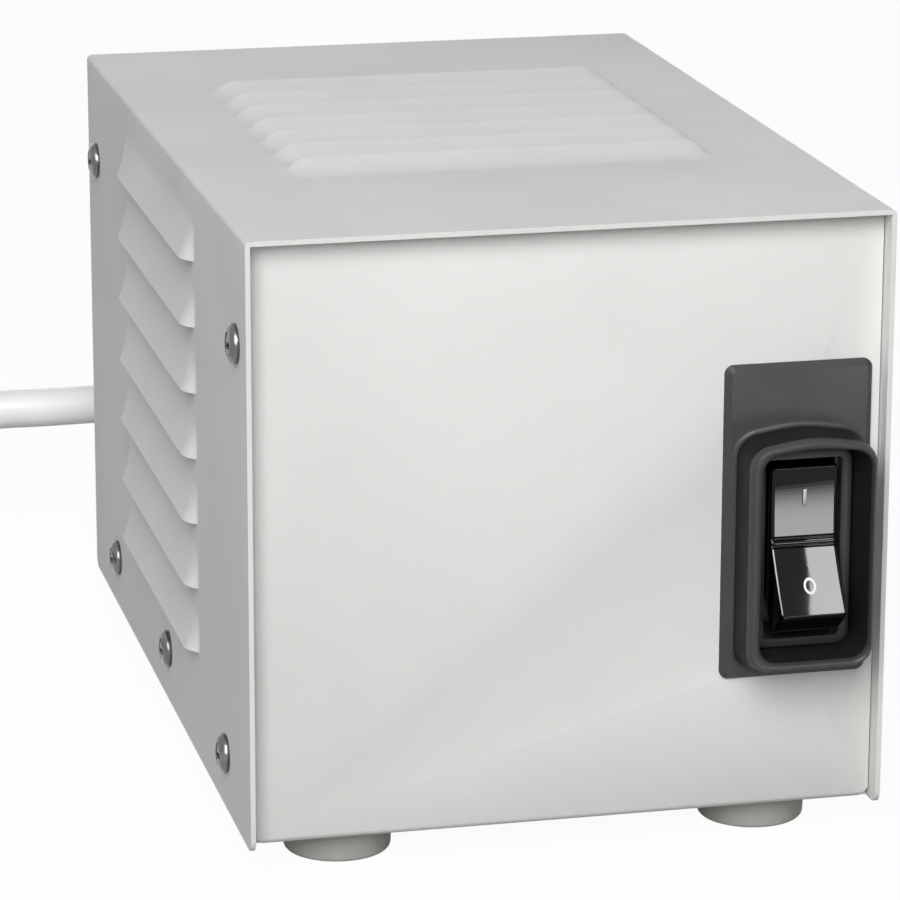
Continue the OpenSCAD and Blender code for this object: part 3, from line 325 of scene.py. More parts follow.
def polishedCopy(name, width):
    # A welded copy of a CAD node with its edges rounded, which stands for the node
    mesh = nodes[name].data.copy()
    mesh.name = name + "Shape"
    weld(mesh, flat=True)
    piece = addObject(name + "Shape", mesh)
    roundEdges(piece, width, shaping["copyDegrees"])
    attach(piece, "base")
    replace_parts(piece, name)
    return piece


def turned(profile, centre, axis):
    # A turned shape: each profile point (radius, along) goes once round the axis through the centre
    radius, along = np.asarray(profile, dtype=float).T
    angle = np.linspace(0, 2 * np.pi, shaping["roundSides"], endpoint=False)
    first, second, third = {"y": (0, 2, 1), "z": (0, 1, 2)}[axis]
    points = np.zeros((len(radius), len(angle), 3))
    points[:, :, first] = radius[:, None] * np.cos(angle)
    points[:, :, second] = radius[:, None] * np.sin(angle)
    points[:, :, third] = along[:, None]
    return points + np.asarray(centre, dtype=float)


def smoothPath(points, perSpan):
    # Catmull-Rom through the points: each span is a cubic whose ends lean along their neighbours
    points = np.asarray(points, dtype=float)
    padded = np.vstack([2 * points[0] - points[1], points, 2 * points[-1] - points[-2]])
    t = np.linspace(0, 1, perSpan, endpoint=False)[None, :, None]
    a, b, c, d = (padded[k:len(padded) - 3 + k][:, None, :] for k in range(4))
    spans = 0.5 * (2 * b + (c - a) * t + (2 * a - 5 * b + 4 * c - d) * t ** 2
                   + (3 * b - a - 3 * c + d) * t ** 3)
    return np.vstack([spans.reshape(-1, 3), points[-1]])


def pathRun(path):
    # Each point's distance along the path: the sum of the steps before it
    return np.concatenate([[0], np.cumsum(np.linalg.norm(np.diff(path, axis=0), axis=1))])


def alongPath(path, run, marks):
    # The places on the path where the run reaches the marks, straight between its points
    return np.stack([np.interp(marks, run, path[:, k]) for k in range(3)], axis=1)


def evenly(path, step):
    # The path again with its points at equal distances
    run = pathRun(path)
    return alongPath(path, run, np.linspace(0, run[-1], int(run[-1] / step)))


def ringPoints(path, heading, radii, sides):
    # Rings square to the heading: centre + radius * (cos * side + sin * up), with the side axis kept level
    heading = heading / np.linalg.norm(heading, axis=1)[:, None]
    side = np.cross(heading, skyward)
    side /= np.linalg.norm(side, axis=1)[:, None]
    up = np.cross(side, heading)
    angle = np.linspace(0, 2 * np.pi, sides, endpoint=False)[None, :, None]
    radii = np.broadcast_to(radii, len(path))[:, None, None]
    return path[:, None, :] + radii * (np.cos(angle) * side[:, None, :] + np.sin(angle) * up[:, None, :])


cord = {"diameter": 11.0, "exit": (-24.0, tailY, 40.0), "coilX": -191.0, "coilY": tailY - 8.6,
        "coilRadius": 66.0, "coilStep": 11.5, "turns": 4.25, "climbTurns": 0.5, "coilStops": 103,
        "perSpan": 6, "ringStep": 3.0, "sides": 18}
# Points listed from inside the panel to the coil, and from the coil to the plug, with Y from the panel
freePoints = [(-24, -11.6, 40), (-24, 2.4, 40), (-24, 16.4, 40), (-29, 35.4, 40), (-43, 50.4, 40),
              (-64, 57.4, 40), (-82, 57.4, 40), (-98, 57.4, 40), (-112, 57.4, 38.5), (-125, 57.4, 33),
              (-138, 57.4, 22.5), (-151, 57.4, 11), (-161, 57.4, 6.5), (-170, 57.4, 5.5), (-180, 57.4, 5.5)]
tailPoints = [(-257, -19.6, 17), (-257, -31.6, 17), (-255, -47.6, 17), (-253, -61.6, 17), (-253, -73.6, 17)]


def coilPoints(turn):
    # Radius = coil radius - step * the turns done or left, whichever are fewer; height = cord radius +
    # step * climb, where climb goes from 0 to 1 about the middle of the coil as t * t * (3 - 2 * t)
    radius = cord["coilRadius"] - cord["coilStep"] * np.minimum(turn, cord["turns"] - turn)
    climb = np.clip((turn - (cord["turns"] - cord["climbTurns"]) / 2) / cord["climbTurns"], 0, 1)
    climb = climb * climb * (3 - 2 * climb)
    angle = 2 * np.pi * turn
    return np.stack([cord["coilX"] - radius * np.sin(angle), cord["coilY"] + radius * np.cos(angle),
                     cord["diameter"] / 2 + cord["coilStep"] * climb], axis=1)


# A sleeve whose radius = base + taper * distance + depth * cos(turns of the pitch), then the moulded body
plug = {"neck": [(0, 0), (5.9, 0)], "sleeveStart": 0.4, "sleeveLength": 14.0, "sleeveStops": 36,
        "sleeveRadius": 7.2, "sleeveTaper": 0.06, "ribPitch": 2.8, "ribDepth": 0.55, "edge": 0.3,
        "body": [(9.2, -15.5), (9.4, -17), (9.6, -19), (10.8, -23), (13.0, -27.5), (13.9, -30),
                 (14.0, -33.5), (14.6, -35.2), (16.4, -36.6), (17.0, -38.2), (17.0, -53.4), (16.7, -54.6),
                 (15.6, -55.6), (14.8, -56), (7, -56), (0, -56)]}


def addPlug(place):
    # Turned about the cord's end: the cord's neck, the ribbed sleeve, the body with its waist and flat face
    run = np.linspace(0, plug["sleeveLength"], plug["sleeveStops"])
    wave = plug["ribDepth"] * np.cos(2 * np.pi * run / plug["ribPitch"])
    radius = plug["sleeveRadius"] + plug["sleeveTaper"] * run + wave
    sleeve = np.stack([radius, -run - plug["sleeveStart"]], axis=1)
    profile = np.vstack([plug["neck"], sleeve, plug["body"]])
    piece = addPiece("plugShell", turned(profile, place, "y"), "cord_jacket")
    roundEdges(piece, plug["edge"])
    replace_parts(piece, "plug_body")
    return piece


def addCord():
    # A tube along one smooth path through the free run, the coil and the tail, closed at both ends
    free = np.array(freePoints) + (0, tailY, 0)
    tail = np.array(tailPoints) + (0, tailY, 0)
    coil = coilPoints(np.linspace(0, cord["turns"], cord["coilStops"]))[1:-1]
    path = evenly(smoothPath(np.vstack([free, coil, tail]), cord["perSpan"]), cord["ringStep"])
    tube = ringPoints(path, np.gradient(path, axis=0), cord["diameter"] / 2, cord["sides"])
    first, last = (np.repeat(path[[k]], cord["sides"], axis=0)[None] for k in (0, -1))
    piece = addPiece("mainsCord", np.vstack([first, tube, last]), "cord_jacket")
    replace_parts(piece, "power_cord", "cord_coil", "cord_tail")
    body = addPlug(tail[-1])


# The bush's profile as (radius, distance from the panel) and the sleeve that bends with the cord
bush = {"head": [(5.5, -8.2), (7.2, -8.2), (8.6, -1.2), (8.75, -1.2), (8.75, 0), (11, 0), (11, 1.9),
                 (10.7, 2.6), (9.8, 3.0), (8.6, 3.0)],
        "sleeveStart": 3.4, "sleeveEnd": 27.0, "sleeveStops": 72, "wide": 8.5, "narrow": 6.6,
        "groovePitch": 3.4, "grooveDepth": 0.5, "grooveLevel": -0.2, "tip": [(6.2, 27.4), (5.5, 27.4)],
        "pathPoints": 5, "perSpan": 12, "reach": 0.3}


def addStrainRelief():
    # Sleeve radius = a straight taper, less the groove's depth where cos(turns of the pitch) is under its
    # level; the heading is the path's change over the reach on both sides
    run = np.linspace(bush["sleeveStart"], bush["sleeveEnd"], bush["sleeveStops"])
    share = (run - bush["sleeveStart"]) / (bush["sleeveEnd"] - bush["sleeveStart"])
    wave = np.cos(2 * np.pi * (run - bush["sleeveStart"]) / bush["groovePitch"])
    groove = bush["grooveDepth"] * (wave < bush["grooveLevel"])
    sleeve = bush["wide"] - share * (bush["wide"] - bush["narrow"]) - groove
    radius, along = np.vstack([bush["head"], np.stack([sleeve, run], axis=1), bush["tip"]]).T
    free = smoothPath(np.array(freePoints)[:bush["pathPoints"]] + (0, tailY, 0), bush["perSpan"])
    freeRun = pathRun(free) + freePoints[0][1]
    path, ahead, behind = (alongPath(free, freeRun, along + d) for d in (0, bush["reach"], -bush["reach"]))
    points = ringPoints(path, ahead - behind, radius, shaping["roundSides"])
    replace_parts(addPiece("cordBush", points, "frame_plastic"), "strain_relief")


addCamera()
addCord()
addStrainRelief()
print("camera and cord ready")

# Line steps are the grid's lines across a hood, from its mouth; end steps start where its ends begin to fall
louvre = {"halfLength": 52.0, "height": 10.5, "out": 3.0, "run": 6.0, "pitch": 16.25, "count": 7,
          "sideLow": 27.6, "sideMiddle": 118.0, "topFirst": 73.5, "footEase": 0.2, "endEase": 0.3,
          "belly": 1.4,
          "lineSteps": (1.2, 3.2, 5.4, 7.2, 8.6, 9.5, 10.2, 10.9, 11.7, 12.6),
          "endSteps": (-0.8, 0.8, 2.0, 3.1, 4.0, 4.7, 5.3, 5.7, 6.1, 6.6)}
cover = {"cornerSteps": (0, 0.1, 0.4, 0.95, 1.8, 3.0), "cornerRows": 7.0, "sideStep": 8.0, "wideStep": 9.0,
         "bendStops": 8, "mouthClear": 0.6, "endClear": 0.35, "same": 1e-6, "edge": 0.25,
         "edgeDegrees": 50}
noHood = 99.0  # a distance from a mouth at which no hood is left


def easedFloor(value, ease):
    # The value, or 0 where it is below 0, with a parabola of height ease / 4 across the bend
    return np.maximum(value, 0) + ease / 4 * np.maximum(1 - np.abs(value) / ease, 0) ** 2


def louvreHeight(u, v):
    # Height = out * ramp ^ belly * end: ramp = 1 - v / height, end = (sqrt(R^2 - d^2) - R + out) / out, with
    # d the distance past the straight part and R the radius of an arc that falls by out over the run
    out, run = louvre["out"], louvre["run"]
    radius = (run ** 2 + out ** 2) / (2 * out)
    d = np.maximum(np.abs(u) - (louvre["halfLength"] - run), 0)
    end = (np.sqrt(np.maximum(radius ** 2 - d ** 2, 0)) - radius + out) / out
    ramp = easedFloor(1 - v / louvre["height"], louvre["footEase"])
    end = np.minimum(easedFloor(end, louvre["endEase"]), 1)
    return out * np.minimum(ramp, 1) ** louvre["belly"] * end


def fillLines(lines, step):
    # The lines with even ones added where two neighbours lie further apart than the step
    lines = np.sort(np.asarray(lines, dtype=float))
    parts = [np.linspace(a, b, max(int(math.ceil((b - a) / step)), 1), endpoint=False)
             for a, b in zip(lines[:-1], lines[1:])]
    return np.concatenate(parts + [lines[-1:]])


def withMouths(lines, mouths, way):
    # Doubles each mouth's line, one copy on the plain sheet and one on the hood, and gives each line's
    # distance from its mouth in the hood's direction
    lines = np.array([line for line in lines if np.abs(line - mouths).min() > cover["mouthClear"]])
    keys = np.concatenate([lines, mouths, mouths - way * cover["same"]])
    place = np.concatenate([lines, mouths, mouths])
    plain = np.concatenate([np.zeros(len(lines) + len(mouths)), np.ones(len(mouths))])
    order = np.argsort(keys)
    place, plain = place[order], plain[order]
    into = way * (place[:, None] - mouths[None, :])
    into = np.where(into < -cover["same"], noHood, into).min(axis=1)
    return place, np.where(plain > 0, noHood, into)


def addCover():
    # Points run round the U of the sheet (columns) and from front to rear (rows); louvres push them outwards
    half, low, top, bend = (case[k] for k in ("halfWidth", "lowZ", "topZ", "bend"))
    front, rear, corner = (case[k] for k in ("frontY", "rearY", "corner"))
    steps = np.array(louvre["lineSteps"])
    places = np.arange(louvre["count"]) * louvre["pitch"]
    sideMouths = low + louvre["sideLow"] + places
    sideLines = np.concatenate([low + np.array(cover["cornerSteps"]), (sideMouths[:, None] + steps).ravel(),
                                [top - bend]])
    sideZ, sideInto = withMouths(fillLines(sideLines, cover["sideStep"]), sideMouths, 1)
    ends = louvre["halfLength"] - louvre["run"] + np.array(louvre["endSteps"])
    topX = fillLines(np.concatenate([-ends, ends, [bend - half, half - bend]]), cover["wideStep"])
    turn = np.radians(np.linspace(0, 90, cover["bendStops"]))[1:-1]
    across = np.concatenate([np.full(len(sideZ), -half), -half + bend - bend * np.cos(turn), topX,
                             half - bend + bend * np.sin(turn), np.full(len(sideZ), half)])
    upward = np.concatenate([sideZ, top - bend + bend * np.sin(turn), np.full(len(topX), top),
                             top - bend + bend * np.cos(turn), sideZ[::-1]])
    sideLine = np.concatenate([sideInto, np.full(2 * len(turn) + len(topX), noHood), sideInto[::-1]])
    isTop = np.abs(upward - top) < cover["same"]
    outX = np.where(isTop, 0, np.sign(across))
    topMouths = front + louvre["topFirst"] + places
    middle = front + louvre["sideMiddle"]
    rowEnds = [front, rear, front + cover["cornerRows"], rear - cover["cornerRows"]]
    rowLines = np.concatenate([(topMouths[:, None] - steps).ravel(), rowEnds])
    sideEnds = np.array([line for line in np.concatenate([middle - ends, middle + ends])
                         if np.abs(line - rowLines).min() > cover["endClear"]])
    rowFill = fillLines(np.concatenate([rowLines, sideEnds]), cover["wideStep"])
    rowY, rowInto = withMouths(rowFill, topMouths, -1)
    sideRise = louvreHeight(rowY[:, None] - middle, sideLine[None, :])
    topRise = louvreHeight(across[None, :], rowInto[:, None]) * isTop[None, :]
    # near the lower corners the rows are drawn in along a quarter circle
    lift = np.clip(corner - (upward - low), 0, corner)
    drawn = corner - np.sqrt(corner ** 2 - lift ** 2)
    nearFront = np.clip(1 - (rowY - front) / cover["cornerRows"], 0, 1)
    nearRear = np.clip(1 - (rear - rowY) / cover["cornerRows"], 0, 1)
    y = rowY[:, None] + (nearFront - nearRear)[:, None] * drawn[None, :]
    points = np.stack([across[None, :] + outX[None, :] * sideRise, y, upward[None, :] + topRise], axis=-1)
    # the cells between a mouth's two lines are left out, which opens the louvres
    quads = gridQuads(len(rowY), len(across), columnsClosed=False).reshape(len(rowY) - 1, len(across) - 1, 4)
    rowKept = np.diff(rowY) > cover["same"]
    columnKept = np.hypot(np.diff(across), np.diff(upward)) > cover["same"]
    quads = quads[rowKept][:, columnKept].reshape(-1, 4)[:, ::-1]
    piece = addPiece("louvredCover", points, "case_coat", quads=quads)
    normals = np.empty(3 * len(piece.data.polygons))
    piece.data.polygons.foreach_get("normal", normals)
    if normals[2::3].sum() < 0:  # the top must face up, or the sheet would grow outwards
        piece.data.flip_normals()
    wall = piece.modifiers.new("sheet", "SOLIDIFY")
    wall.thickness = case["sheet"] * mm
    wall.offset = -1
    roundEdges(piece, cover["edge"], cover["edgeDegrees"])
    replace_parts(piece, "cover")


addCover()
print("cover ready")

switch = {"x": 54.6, "z": 73.4, "pinY": case["frontY"] + 4.0, "plateWidth": 35.6, "plateHeight": 76.0,
          "plateBelow": 32.6, "plateThick": 2.0, "plateEdge": 0.55, "plateBevel": 1.4, "plateCorner": 2.2,
          "collarWidth": 30.6, "collarOut": 13.5, "collarUp": 3.0, "collarFoot": 2.6, "collarCrown": 1.6,
          "collarRound": 5.0, "footRadius": 1.1, "footShare": 0.9, "mouthWidth": 24.0, "mouthHeight": 48.0,
          "mouthRound": 3.3, "mouthCrown": 0.8, "mouthShift": 0.9, "mouthBack": 1.2, "waistGrow": 0.2,
          "waistShare": 0.6, "crestInset": 1.1, "lipGrow": 1.1, "rimDepth": 3.0, "lipDepth": 1.8,
          "rimDegrees": (15, 30, 45, 60, 75, 90), "footDegrees": (0, 22, 45, 68, 90), "wallStops": 4,
          "edge": 0.18, "edgeDegrees": 24}
# How finely every outline is drawn, and how far below its top a crown begins, as a share of its corner
outlineSteps = {"corner": 8, "side": 10, "crownShare": 1.5}


def outline(width, low, high, corner, crown=0.0):
    # A rectangle with quarter circles of (cos, sin) * corner; its upper side rises by crown * (1 + cos) / 2
    half = width / 2
    angle = np.linspace(0, np.pi / 2, outlineSteps["corner"])
    arc = np.stack([np.cos(angle), np.sin(angle)], axis=1) * corner
    quarter = np.array([[0, 1], [-1, 0]])
    centres = [(half - corner, high - corner), (corner - half, high - corner), (corner - half, low + corner),
               (half - corner, low + corner)]
    corners = [arc @ np.linalg.matrix_power(quarter, k) + centre for k, centre in enumerate(centres)]
    share = np.linspace(0, 1, outlineSteps["side"] + 2)[1:-1, None]
    sides = [corners[k][-1] * (1 - share) + corners[(k + 1) % 4][0] * share for k in range(4)]
    points = np.vstack([part for pair in zip(corners, sides) for part in pair])
    reach = outlineSteps["crownShare"] * corner
    raised = np.clip((points[:, 1] - (high - reach)) / reach, 0, 1)
    points[:, 1] += crown * raised * (0.5 + 0.5 * np.cos(np.pi * np.clip(points[:, 0] / half, -1, 1)))
    return points


def loft(loops):
    # Stacks outlines, each an array of (x, z) about the switch with its distance in front of the panel
    return np.stack([np.stack([points[:, 0] + switch["x"], np.full(len(points), panelY - out),
                               points[:, 1] + switch["z"]], axis=1) for points, out in loops])


def addGuard():
    # One closed skin: plate back, bevel and face, concave foot, wall, rim as two quarter ellipses, mouth
    s = switch
    above = s["plateHeight"] - s["plateBelow"]
    mouthHalf = s["mouthHeight"] / 2
    top = s["plateThick"] + s["collarOut"]
    footTop = top - s["rimDepth"]
    wallFoot = s["plateThick"] + s["footRadius"]
    rimAngles = np.radians(s["rimDegrees"])

    def plate(inset=0.0):
        # the plate's outline, each side drawn in by the inset
        return outline(s["plateWidth"] - 2 * inset, inset - s["plateBelow"], above - inset,
                       s["plateCorner"] - inset)

    def collar(inset, foot=0.0):
        # the collar's outline, each side drawn in by the inset, its lower side let down by the foot
        return outline(s["collarWidth"] - 2 * inset, inset - mouthHalf - s["collarUp"] - foot,
                       mouthHalf + s["collarUp"] - inset, s["collarRound"] - inset, s["collarCrown"])

    def mouth(grow=0.0, shift=0.0):
        # the mouth's outline, each side moved out by grow, with a share of its full crown and shift
        points = outline(s["mouthWidth"] + 2 * grow, -mouthHalf - grow, mouthHalf + grow,
                         s["mouthRound"] + grow, s["mouthCrown"] * shift)
        return points + (s["mouthShift"] * shift, 0)

    loops = [(mouth(), 0.0), (plate(), 0.0), (plate(), s["plateEdge"]),
             (plate(s["plateBevel"]), s["plateThick"])]
    for angle in np.radians(s["footDegrees"]):
        grow, rise = s["footRadius"] * (1 - math.sin(angle)), s["footRadius"] * (1 - math.cos(angle))
        loops.append((collar(-grow, s["collarFoot"] * (1 - rise / footTop)), s["plateThick"] + rise))
    footEnd = len(loops) - 1
    for share in np.linspace(0, 1, s["wallStops"] + 1)[1:]:
        foot = s["collarFoot"] * (1 - share) * s["footShare"]
        loops.append((collar(0.0, foot), wallFoot + (footTop - wallFoot) * share))
    wallEnd = len(loops) - 1
    for angle in rimAngles:
        inset = s["crestInset"] * (1 - math.cos(angle))
        loops.append((collar(inset), footTop + s["rimDepth"] * math.sin(angle)))
    crest, lip = loops[-1][0], mouth(s["lipGrow"], 1.0)
    for angle in rimAngles:
        loops.append((crest + (lip - crest) * math.sin(angle), top - s["lipDepth"] * (1 - math.cos(angle))))
    lipEnd = len(loops) - 1
    loops += [(mouth(s["waistGrow"], s["waistShare"]), top / 2), (mouth(), s["mouthBack"])]
    points = loft(loops)
    piece = addPiece("switchGuard", points, "guard_plastic", rowsClosed=True)
    # the collar's walls, outside and in, are drawn smooth and get painted shade: a deeper ABS where they lie
    # in shade
    piece.data.materials.append(finishes["paintedShadeAbs"])
    band = np.arange(len(piece.data.polygons)) // points.shape[1]
    shadedWalls = ((band >= footEnd) & (band <= wallEnd)) | (band >= lipEnd)
    piece.data.polygons.foreach_set("material_index", shadedWalls.astype(np.int32))
    roundEdges(piece, s["edge"], s["edgeDegrees"])
    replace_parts(piece, "switch_guard")


# Depths count from the front face: (inset, depth) up the outside, then (grow, corner, depth) into the cell
ring = {"play": 0.1, "out": 1.5, "neckWidth": 21.2, "neckHeight": 46.4, "neckCorner": 0.4, "behind": 1.2,
        "cellWidth": 16.6, "cellHeight": 43.4, "outerSteps": ((0.0, 0.6), (0.2, 0.18), (0.6, 0.0)),
        "cellSteps": ((1.35, 1.2, 0.0), (1.0, 1.1, 0.18), (0.9, 1.0, 0.5), (0.9, 1.0, 2.5), (0.0, 0.6, 2.5)),
        "edge": 0.12, "edgeDegrees": 30}


def addRing():
    # The frame round the rocker: outer wall, rounded front edge, face, rounded lip, step and cell wall
    halfOuter = switch["mouthHeight"] / 2 - ring["play"]
    halfNeck, halfCell = ring["neckHeight"] / 2, ring["cellHeight"] / 2
    front = panelY - (case["frontY"] - ring["out"])

    def outer(inset):
        # the guard's mouth less the play and the inset on each side
        return outline(switch["mouthWidth"] - 2 * (ring["play"] + inset), inset - halfOuter,
                       halfOuter - inset, switch["mouthRound"] - inset)

    def cell(grow, corner):
        # the rocker's cell, each long side moved out by grow
        return outline(ring["cellWidth"] + 2 * grow, -halfCell, halfCell, corner)

    neck = outline(ring["neckWidth"], -halfNeck, halfNeck, ring["neckCorner"])
    loops = [(neck, -ring["behind"]), (neck, 0.0), (outer(0.0), 0.0)]
    loops += [(outer(inset), front - depth) for inset, depth in ring["outerSteps"]]
    loops += [(cell(grow, corner), front - depth) for grow, corner, depth in ring["cellSteps"]]
    loops.append((loops[-1][0], -ring["behind"]))
    piece = addPiece("rockerRing", loft(loops), "frame_plastic", rowsClosed=True)
    roundEdges(piece, ring["edge"], ring["edgeDegrees"])
    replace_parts(piece, "rocker_frame")


# Edge steps are (distance from the side, the share of the side view's size there)
rocker = {"width": 16.0, "vAngle": 17.0, "tilt": 17.0, "reach": 21.0, "rise": 7.4, "strip": 1.4, "back": 2.2,
          "backDegrees": 84, "endStops": 10, "hollow": 0.35, "faceStops": 14, "bead": 0.5, "beadRise": 0.25,
          "beadStops": 4, "groove": 0.45, "grooveNear": 0.05, "grooveFar": 0.35, "columns": 9,
          "centre": (-2.0, 0.0),
          "edgeSteps": ((0.0, 0.0), (0.0, 0.964), (0.15, 0.978), (0.4, 0.9905), (0.7, 0.9975), (1.0, 1.0)),
          "edge": 0.14, "edgeDegrees": 20, "edgeSegments": 3}


def rockerPlace(y, z):
    # Turns a side view about the pin by the rest tilt, then moves it to the pin
    tilt = math.radians(rocker["tilt"])
    return (y * math.cos(tilt) + z * math.sin(tilt) + switch["pinY"],
            -y * math.sin(tilt) + z * math.cos(tilt) + switch["z"])


def rockerTips():
    # Where the upper face meets the reach about the pin: off = the pin's distance from the face's line and
    # run = sqrt(reach ^ 2 - off ^ 2) along it, both turned by the V's angle; gives the tip's up and out
    v = math.radians(rocker["vAngle"])
    off = rocker["rise"] * math.cos(v) - rocker["strip"] * math.sin(v)
    run = math.sqrt(rocker["reach"] ** 2 - off ** 2)
    return run * math.cos(v) - off * math.sin(v), run * math.sin(v) + off * math.cos(v)


def addRocker():
    # A side view carried across: two hollow faces, a bead between two grooves, ends as arcs about the pin
    up, out = rockerTips()
    bead, groove, rise, strip = (rocker[k] for k in ("bead", "groove", "rise", "strip"))
    t = np.linspace(0, 1, rocker["faceStops"])
    faceY = -rise + (rise - out) * t + rocker["hollow"] * np.sin(np.pi * t)
    faceZ = strip + (up - strip) * t
    arc = np.linspace(math.atan2(up, out), math.radians(rocker["backDegrees"]), rocker["endStops"])[1:]
    endY, endZ = -rocker["reach"] * np.cos(arc), rocker["reach"] * np.sin(arc)
    turn = np.linspace(0, np.pi / 2, rocker["beadStops"])
    beadY, beadZ = rocker["beadRise"] * (1 - np.cos(turn)) - rise, bead * np.sin(turn)
    grooveZ = [bead + rocker["grooveNear"], strip - rocker["grooveFar"]]
    upperY = np.concatenate([beadY, [groove - rise, groove - rise], faceY, endY, [rocker["back"]]])
    upperZ = np.concatenate([beadZ, grooveZ, faceZ, endZ, [up / 2]])
    profile = np.concatenate([np.stack([upperY, upperZ], axis=1), np.stack([upperY, -upperZ], axis=1)[::-1]])
    half = rocker["width"] / 2
    edge = [(inset - half, share) for inset, share in rocker["edgeSteps"]]
    columns = edge + [(x, 1.0) for x in np.linspace(-half, half, rocker["columns"])[1:-1]]
    columns += [(-x, share) for x, share in edge[::-1]]
    centre = np.array(rocker["centre"])
    loops = []
    for x, share in columns:
        y, z = rockerPlace(*((profile - centre) * share + centre).T)
        loops.append(np.stack([np.full(len(y), switch["x"] + x), y, z], axis=1))
    piece = addPiece("rockerShell", np.stack(loops), "rocker_plastic", "rocker")
    roundEdges(piece, rocker["edge"], rocker["edgeDegrees"], rocker["edgeSegments"], clamped=False)
    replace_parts(piece, "rocker")


# Loops are (size as a share, height over the face), from inside the rocker round to inside it again
marks = {"onWidth": 0.8, "onHalf": 2.05, "onCorner": 0.2, "onZ": 86.05, "onY": case["frontY"] - 2.687,
         "onLoops": ((0, -0.3), (1, -0.3), (1, 0.05), (0, 0.05)), "offRun": 9.36, "offShift": -0.1,
         "offHalfWidth": 1.5, "offHalfHeight": 2.1, "offStops": 48,
         "offLoops": ((1.0, -0.3), (1.0, 0.06), (0.64, 0.06), (0.64, -0.3))}


def addMarks():
    # I on the upper half and O on the lower one: thin printed shapes just proud of the faces
    bar = outline(marks["onWidth"], -marks["onHalf"], marks["onHalf"], marks["onCorner"])
    loops = [np.stack([switch["x"] + bar[:, 0] * share, np.full(len(bar), marks["onY"] - height),
                       marks["onZ"] + bar[:, 1] * share], axis=1) for share, height in marks["onLoops"]]
    addPiece("markOn", np.stack(loops), "rocker_plastic", "rocker", finishes["greyedInk"])
    # the O is a flat elliptical band on the lower face, whose run is counted from the strip along the face
    angle = np.linspace(0, 2 * np.pi, marks["offStops"], endpoint=False)
    v = math.radians(rocker["vAngle"])
    loops = []
    for share, height in marks["offLoops"]:
        run = marks["offRun"] + marks["offHalfHeight"] * share * np.sin(angle)
        y, z = rockerPlace((rocker["hollow"] - height) * math.cos(v) - rocker["rise"] - run * math.sin(v),
                           height * math.sin(v) - rocker["strip"] - run * math.cos(v))
        x = switch["x"] + marks["offShift"] + marks["offHalfWidth"] * share * np.cos(angle)
        loops.append(np.stack([x, y, z], axis=1))
    addPiece("markOff", np.stack(loops), "rocker_plastic", "rocker", finishes["printedInk"], rowsClosed=True)


addGuard()
addRing()
addRocker()
addMarks()
print("switch ready")

foot = {"x": 51.0, "fromEnd": 23.5, "edge": 0.25,
        "profile": [(0, 5.1), (6, 5.1), (6, 0.4), (6.4, 0), (11.8, 0), (12.3, 0.1), (12.6, 0.45),
                    (12.75, 1.0), (12.9, 4), (13.0, 7.4), (12.9, 7.9), (12.6, 8.25), (0, 8.29)]}


def addFeet():
    # Turned rubber feet: a short barrel with a rounded tread and a pocket for its screw
    ends = (case["frontY"] + foot["fromEnd"], case["rearY"] - foot["fromEnd"])
    for number, (x, y) in enumerate([(x, y) for x in (-foot["x"], foot["x"]) for y in ends]):
        piece = addPiece("foot%d" % (number + 1), turned(foot["profile"], (x, y, 0), "z"), "foot_rubber")
        roundEdges(piece, foot["edge"])
        if number == 0:
            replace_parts(piece, "feet")


outlets = {"x": 32.0, "slotReach": 8.5, "slotNear": 4.5, "slotFar": 13.5, "endDepth": 1.0, "wallTilt": 0.5}


def shadeSlots(piece):
    # Painted shade on the slots' walls and ends, in a darker polycarbonate: faces near the outlets' middle
    # line, behind their front
    count = len(piece.data.polygons)
    centres, normals = np.empty(3 * count), np.empty(3 * count)
    piece.data.polygons.foreach_get("center", centres)
    piece.data.polygons.foreach_get("normal", normals)
    aside = np.abs(centres[::3] / mm - outlets["x"])
    depth = (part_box("receptacle")[1][1] - centres[1::3]) / mm
    wall = (np.abs(normals[1::3]) < outlets["wallTilt"]) | (depth > outlets["slotFar"] - outlets["endDepth"])
    inSlot = (aside < outlets["slotReach"]) & (depth > outlets["slotNear"]) & (depth < outlets["slotFar"])
    piece.data.materials.append(finishes["shadedPolycarbonate"])
    piece.data.polygons.foreach_set("material_index", (inSlot & wall).astype(np.int32))


addFeet()
edgeWidths = {"chassis": 0.25, "cover_screws": 0.15, "receptacle_screws": 0.12, "receptacle": 0.3}
copies = {name: polishedCopy(name, width) for name, width in edgeWidths.items()}
shadeSlots(copies["receptacle"])
print("chassis and fasteners ready")

# In metres, watts and degrees; the tones are the floor's as the camera sees it and as it lights the object
stage = {"floorSize": 8.0, "floorGlow": 0.95, "seenTone": 0.95, "bounceTone": 0.36, "ambient": 0.17,
         "keyPower": 36.8, "keySize": 1.3, "keyAway": 1.9, "keyFrom": (-0.325, -0.785, 0.54),
         "keyAim": (0, 0, 0.08), "fillEnergy": 0.9, "fillAngle": 60.0, "fillFrom": (0.35, 0.93, 0.05),
         "fadeDepth": 0.03}
# Windows light nothing and show only as reflections in polished plastic; fades counts the strips over which
# the lower edge fades
windows = {"upperWindow": {"place": (0.115, -0.305, 0.055), "facing": (0.26, -0.93, -0.2), "width": 0.05,
                           "height": 0.019, "radiance": 20.5, "fades": 15},
           "lowerWindow": {"place": (0.2215, -0.429, 0.4285), "facing": (0.0, -0.647, 0.762), "width": 0.038,
                           "height": 0.14, "radiance": 28.0, "fades": 0},
           "edgeWindow": {"place": (-0.045, -0.42, 0.45), "facing": (-0.2, -0.6, 0.77), "width": 0.2,
                          "height": 0.2, "radiance": 28.0, "fades": 0}}
white = (1, 1, 1, 1)


def lampAxes(towards):
    # The lamp's right, up and back axes: back is the given direction, right lies level
    back = np.array(towards) / np.linalg.norm(towards)
    right = np.cross(skyward, back)
    right = right / np.linalg.norm(right)
    return right, np.cross(back, right), back


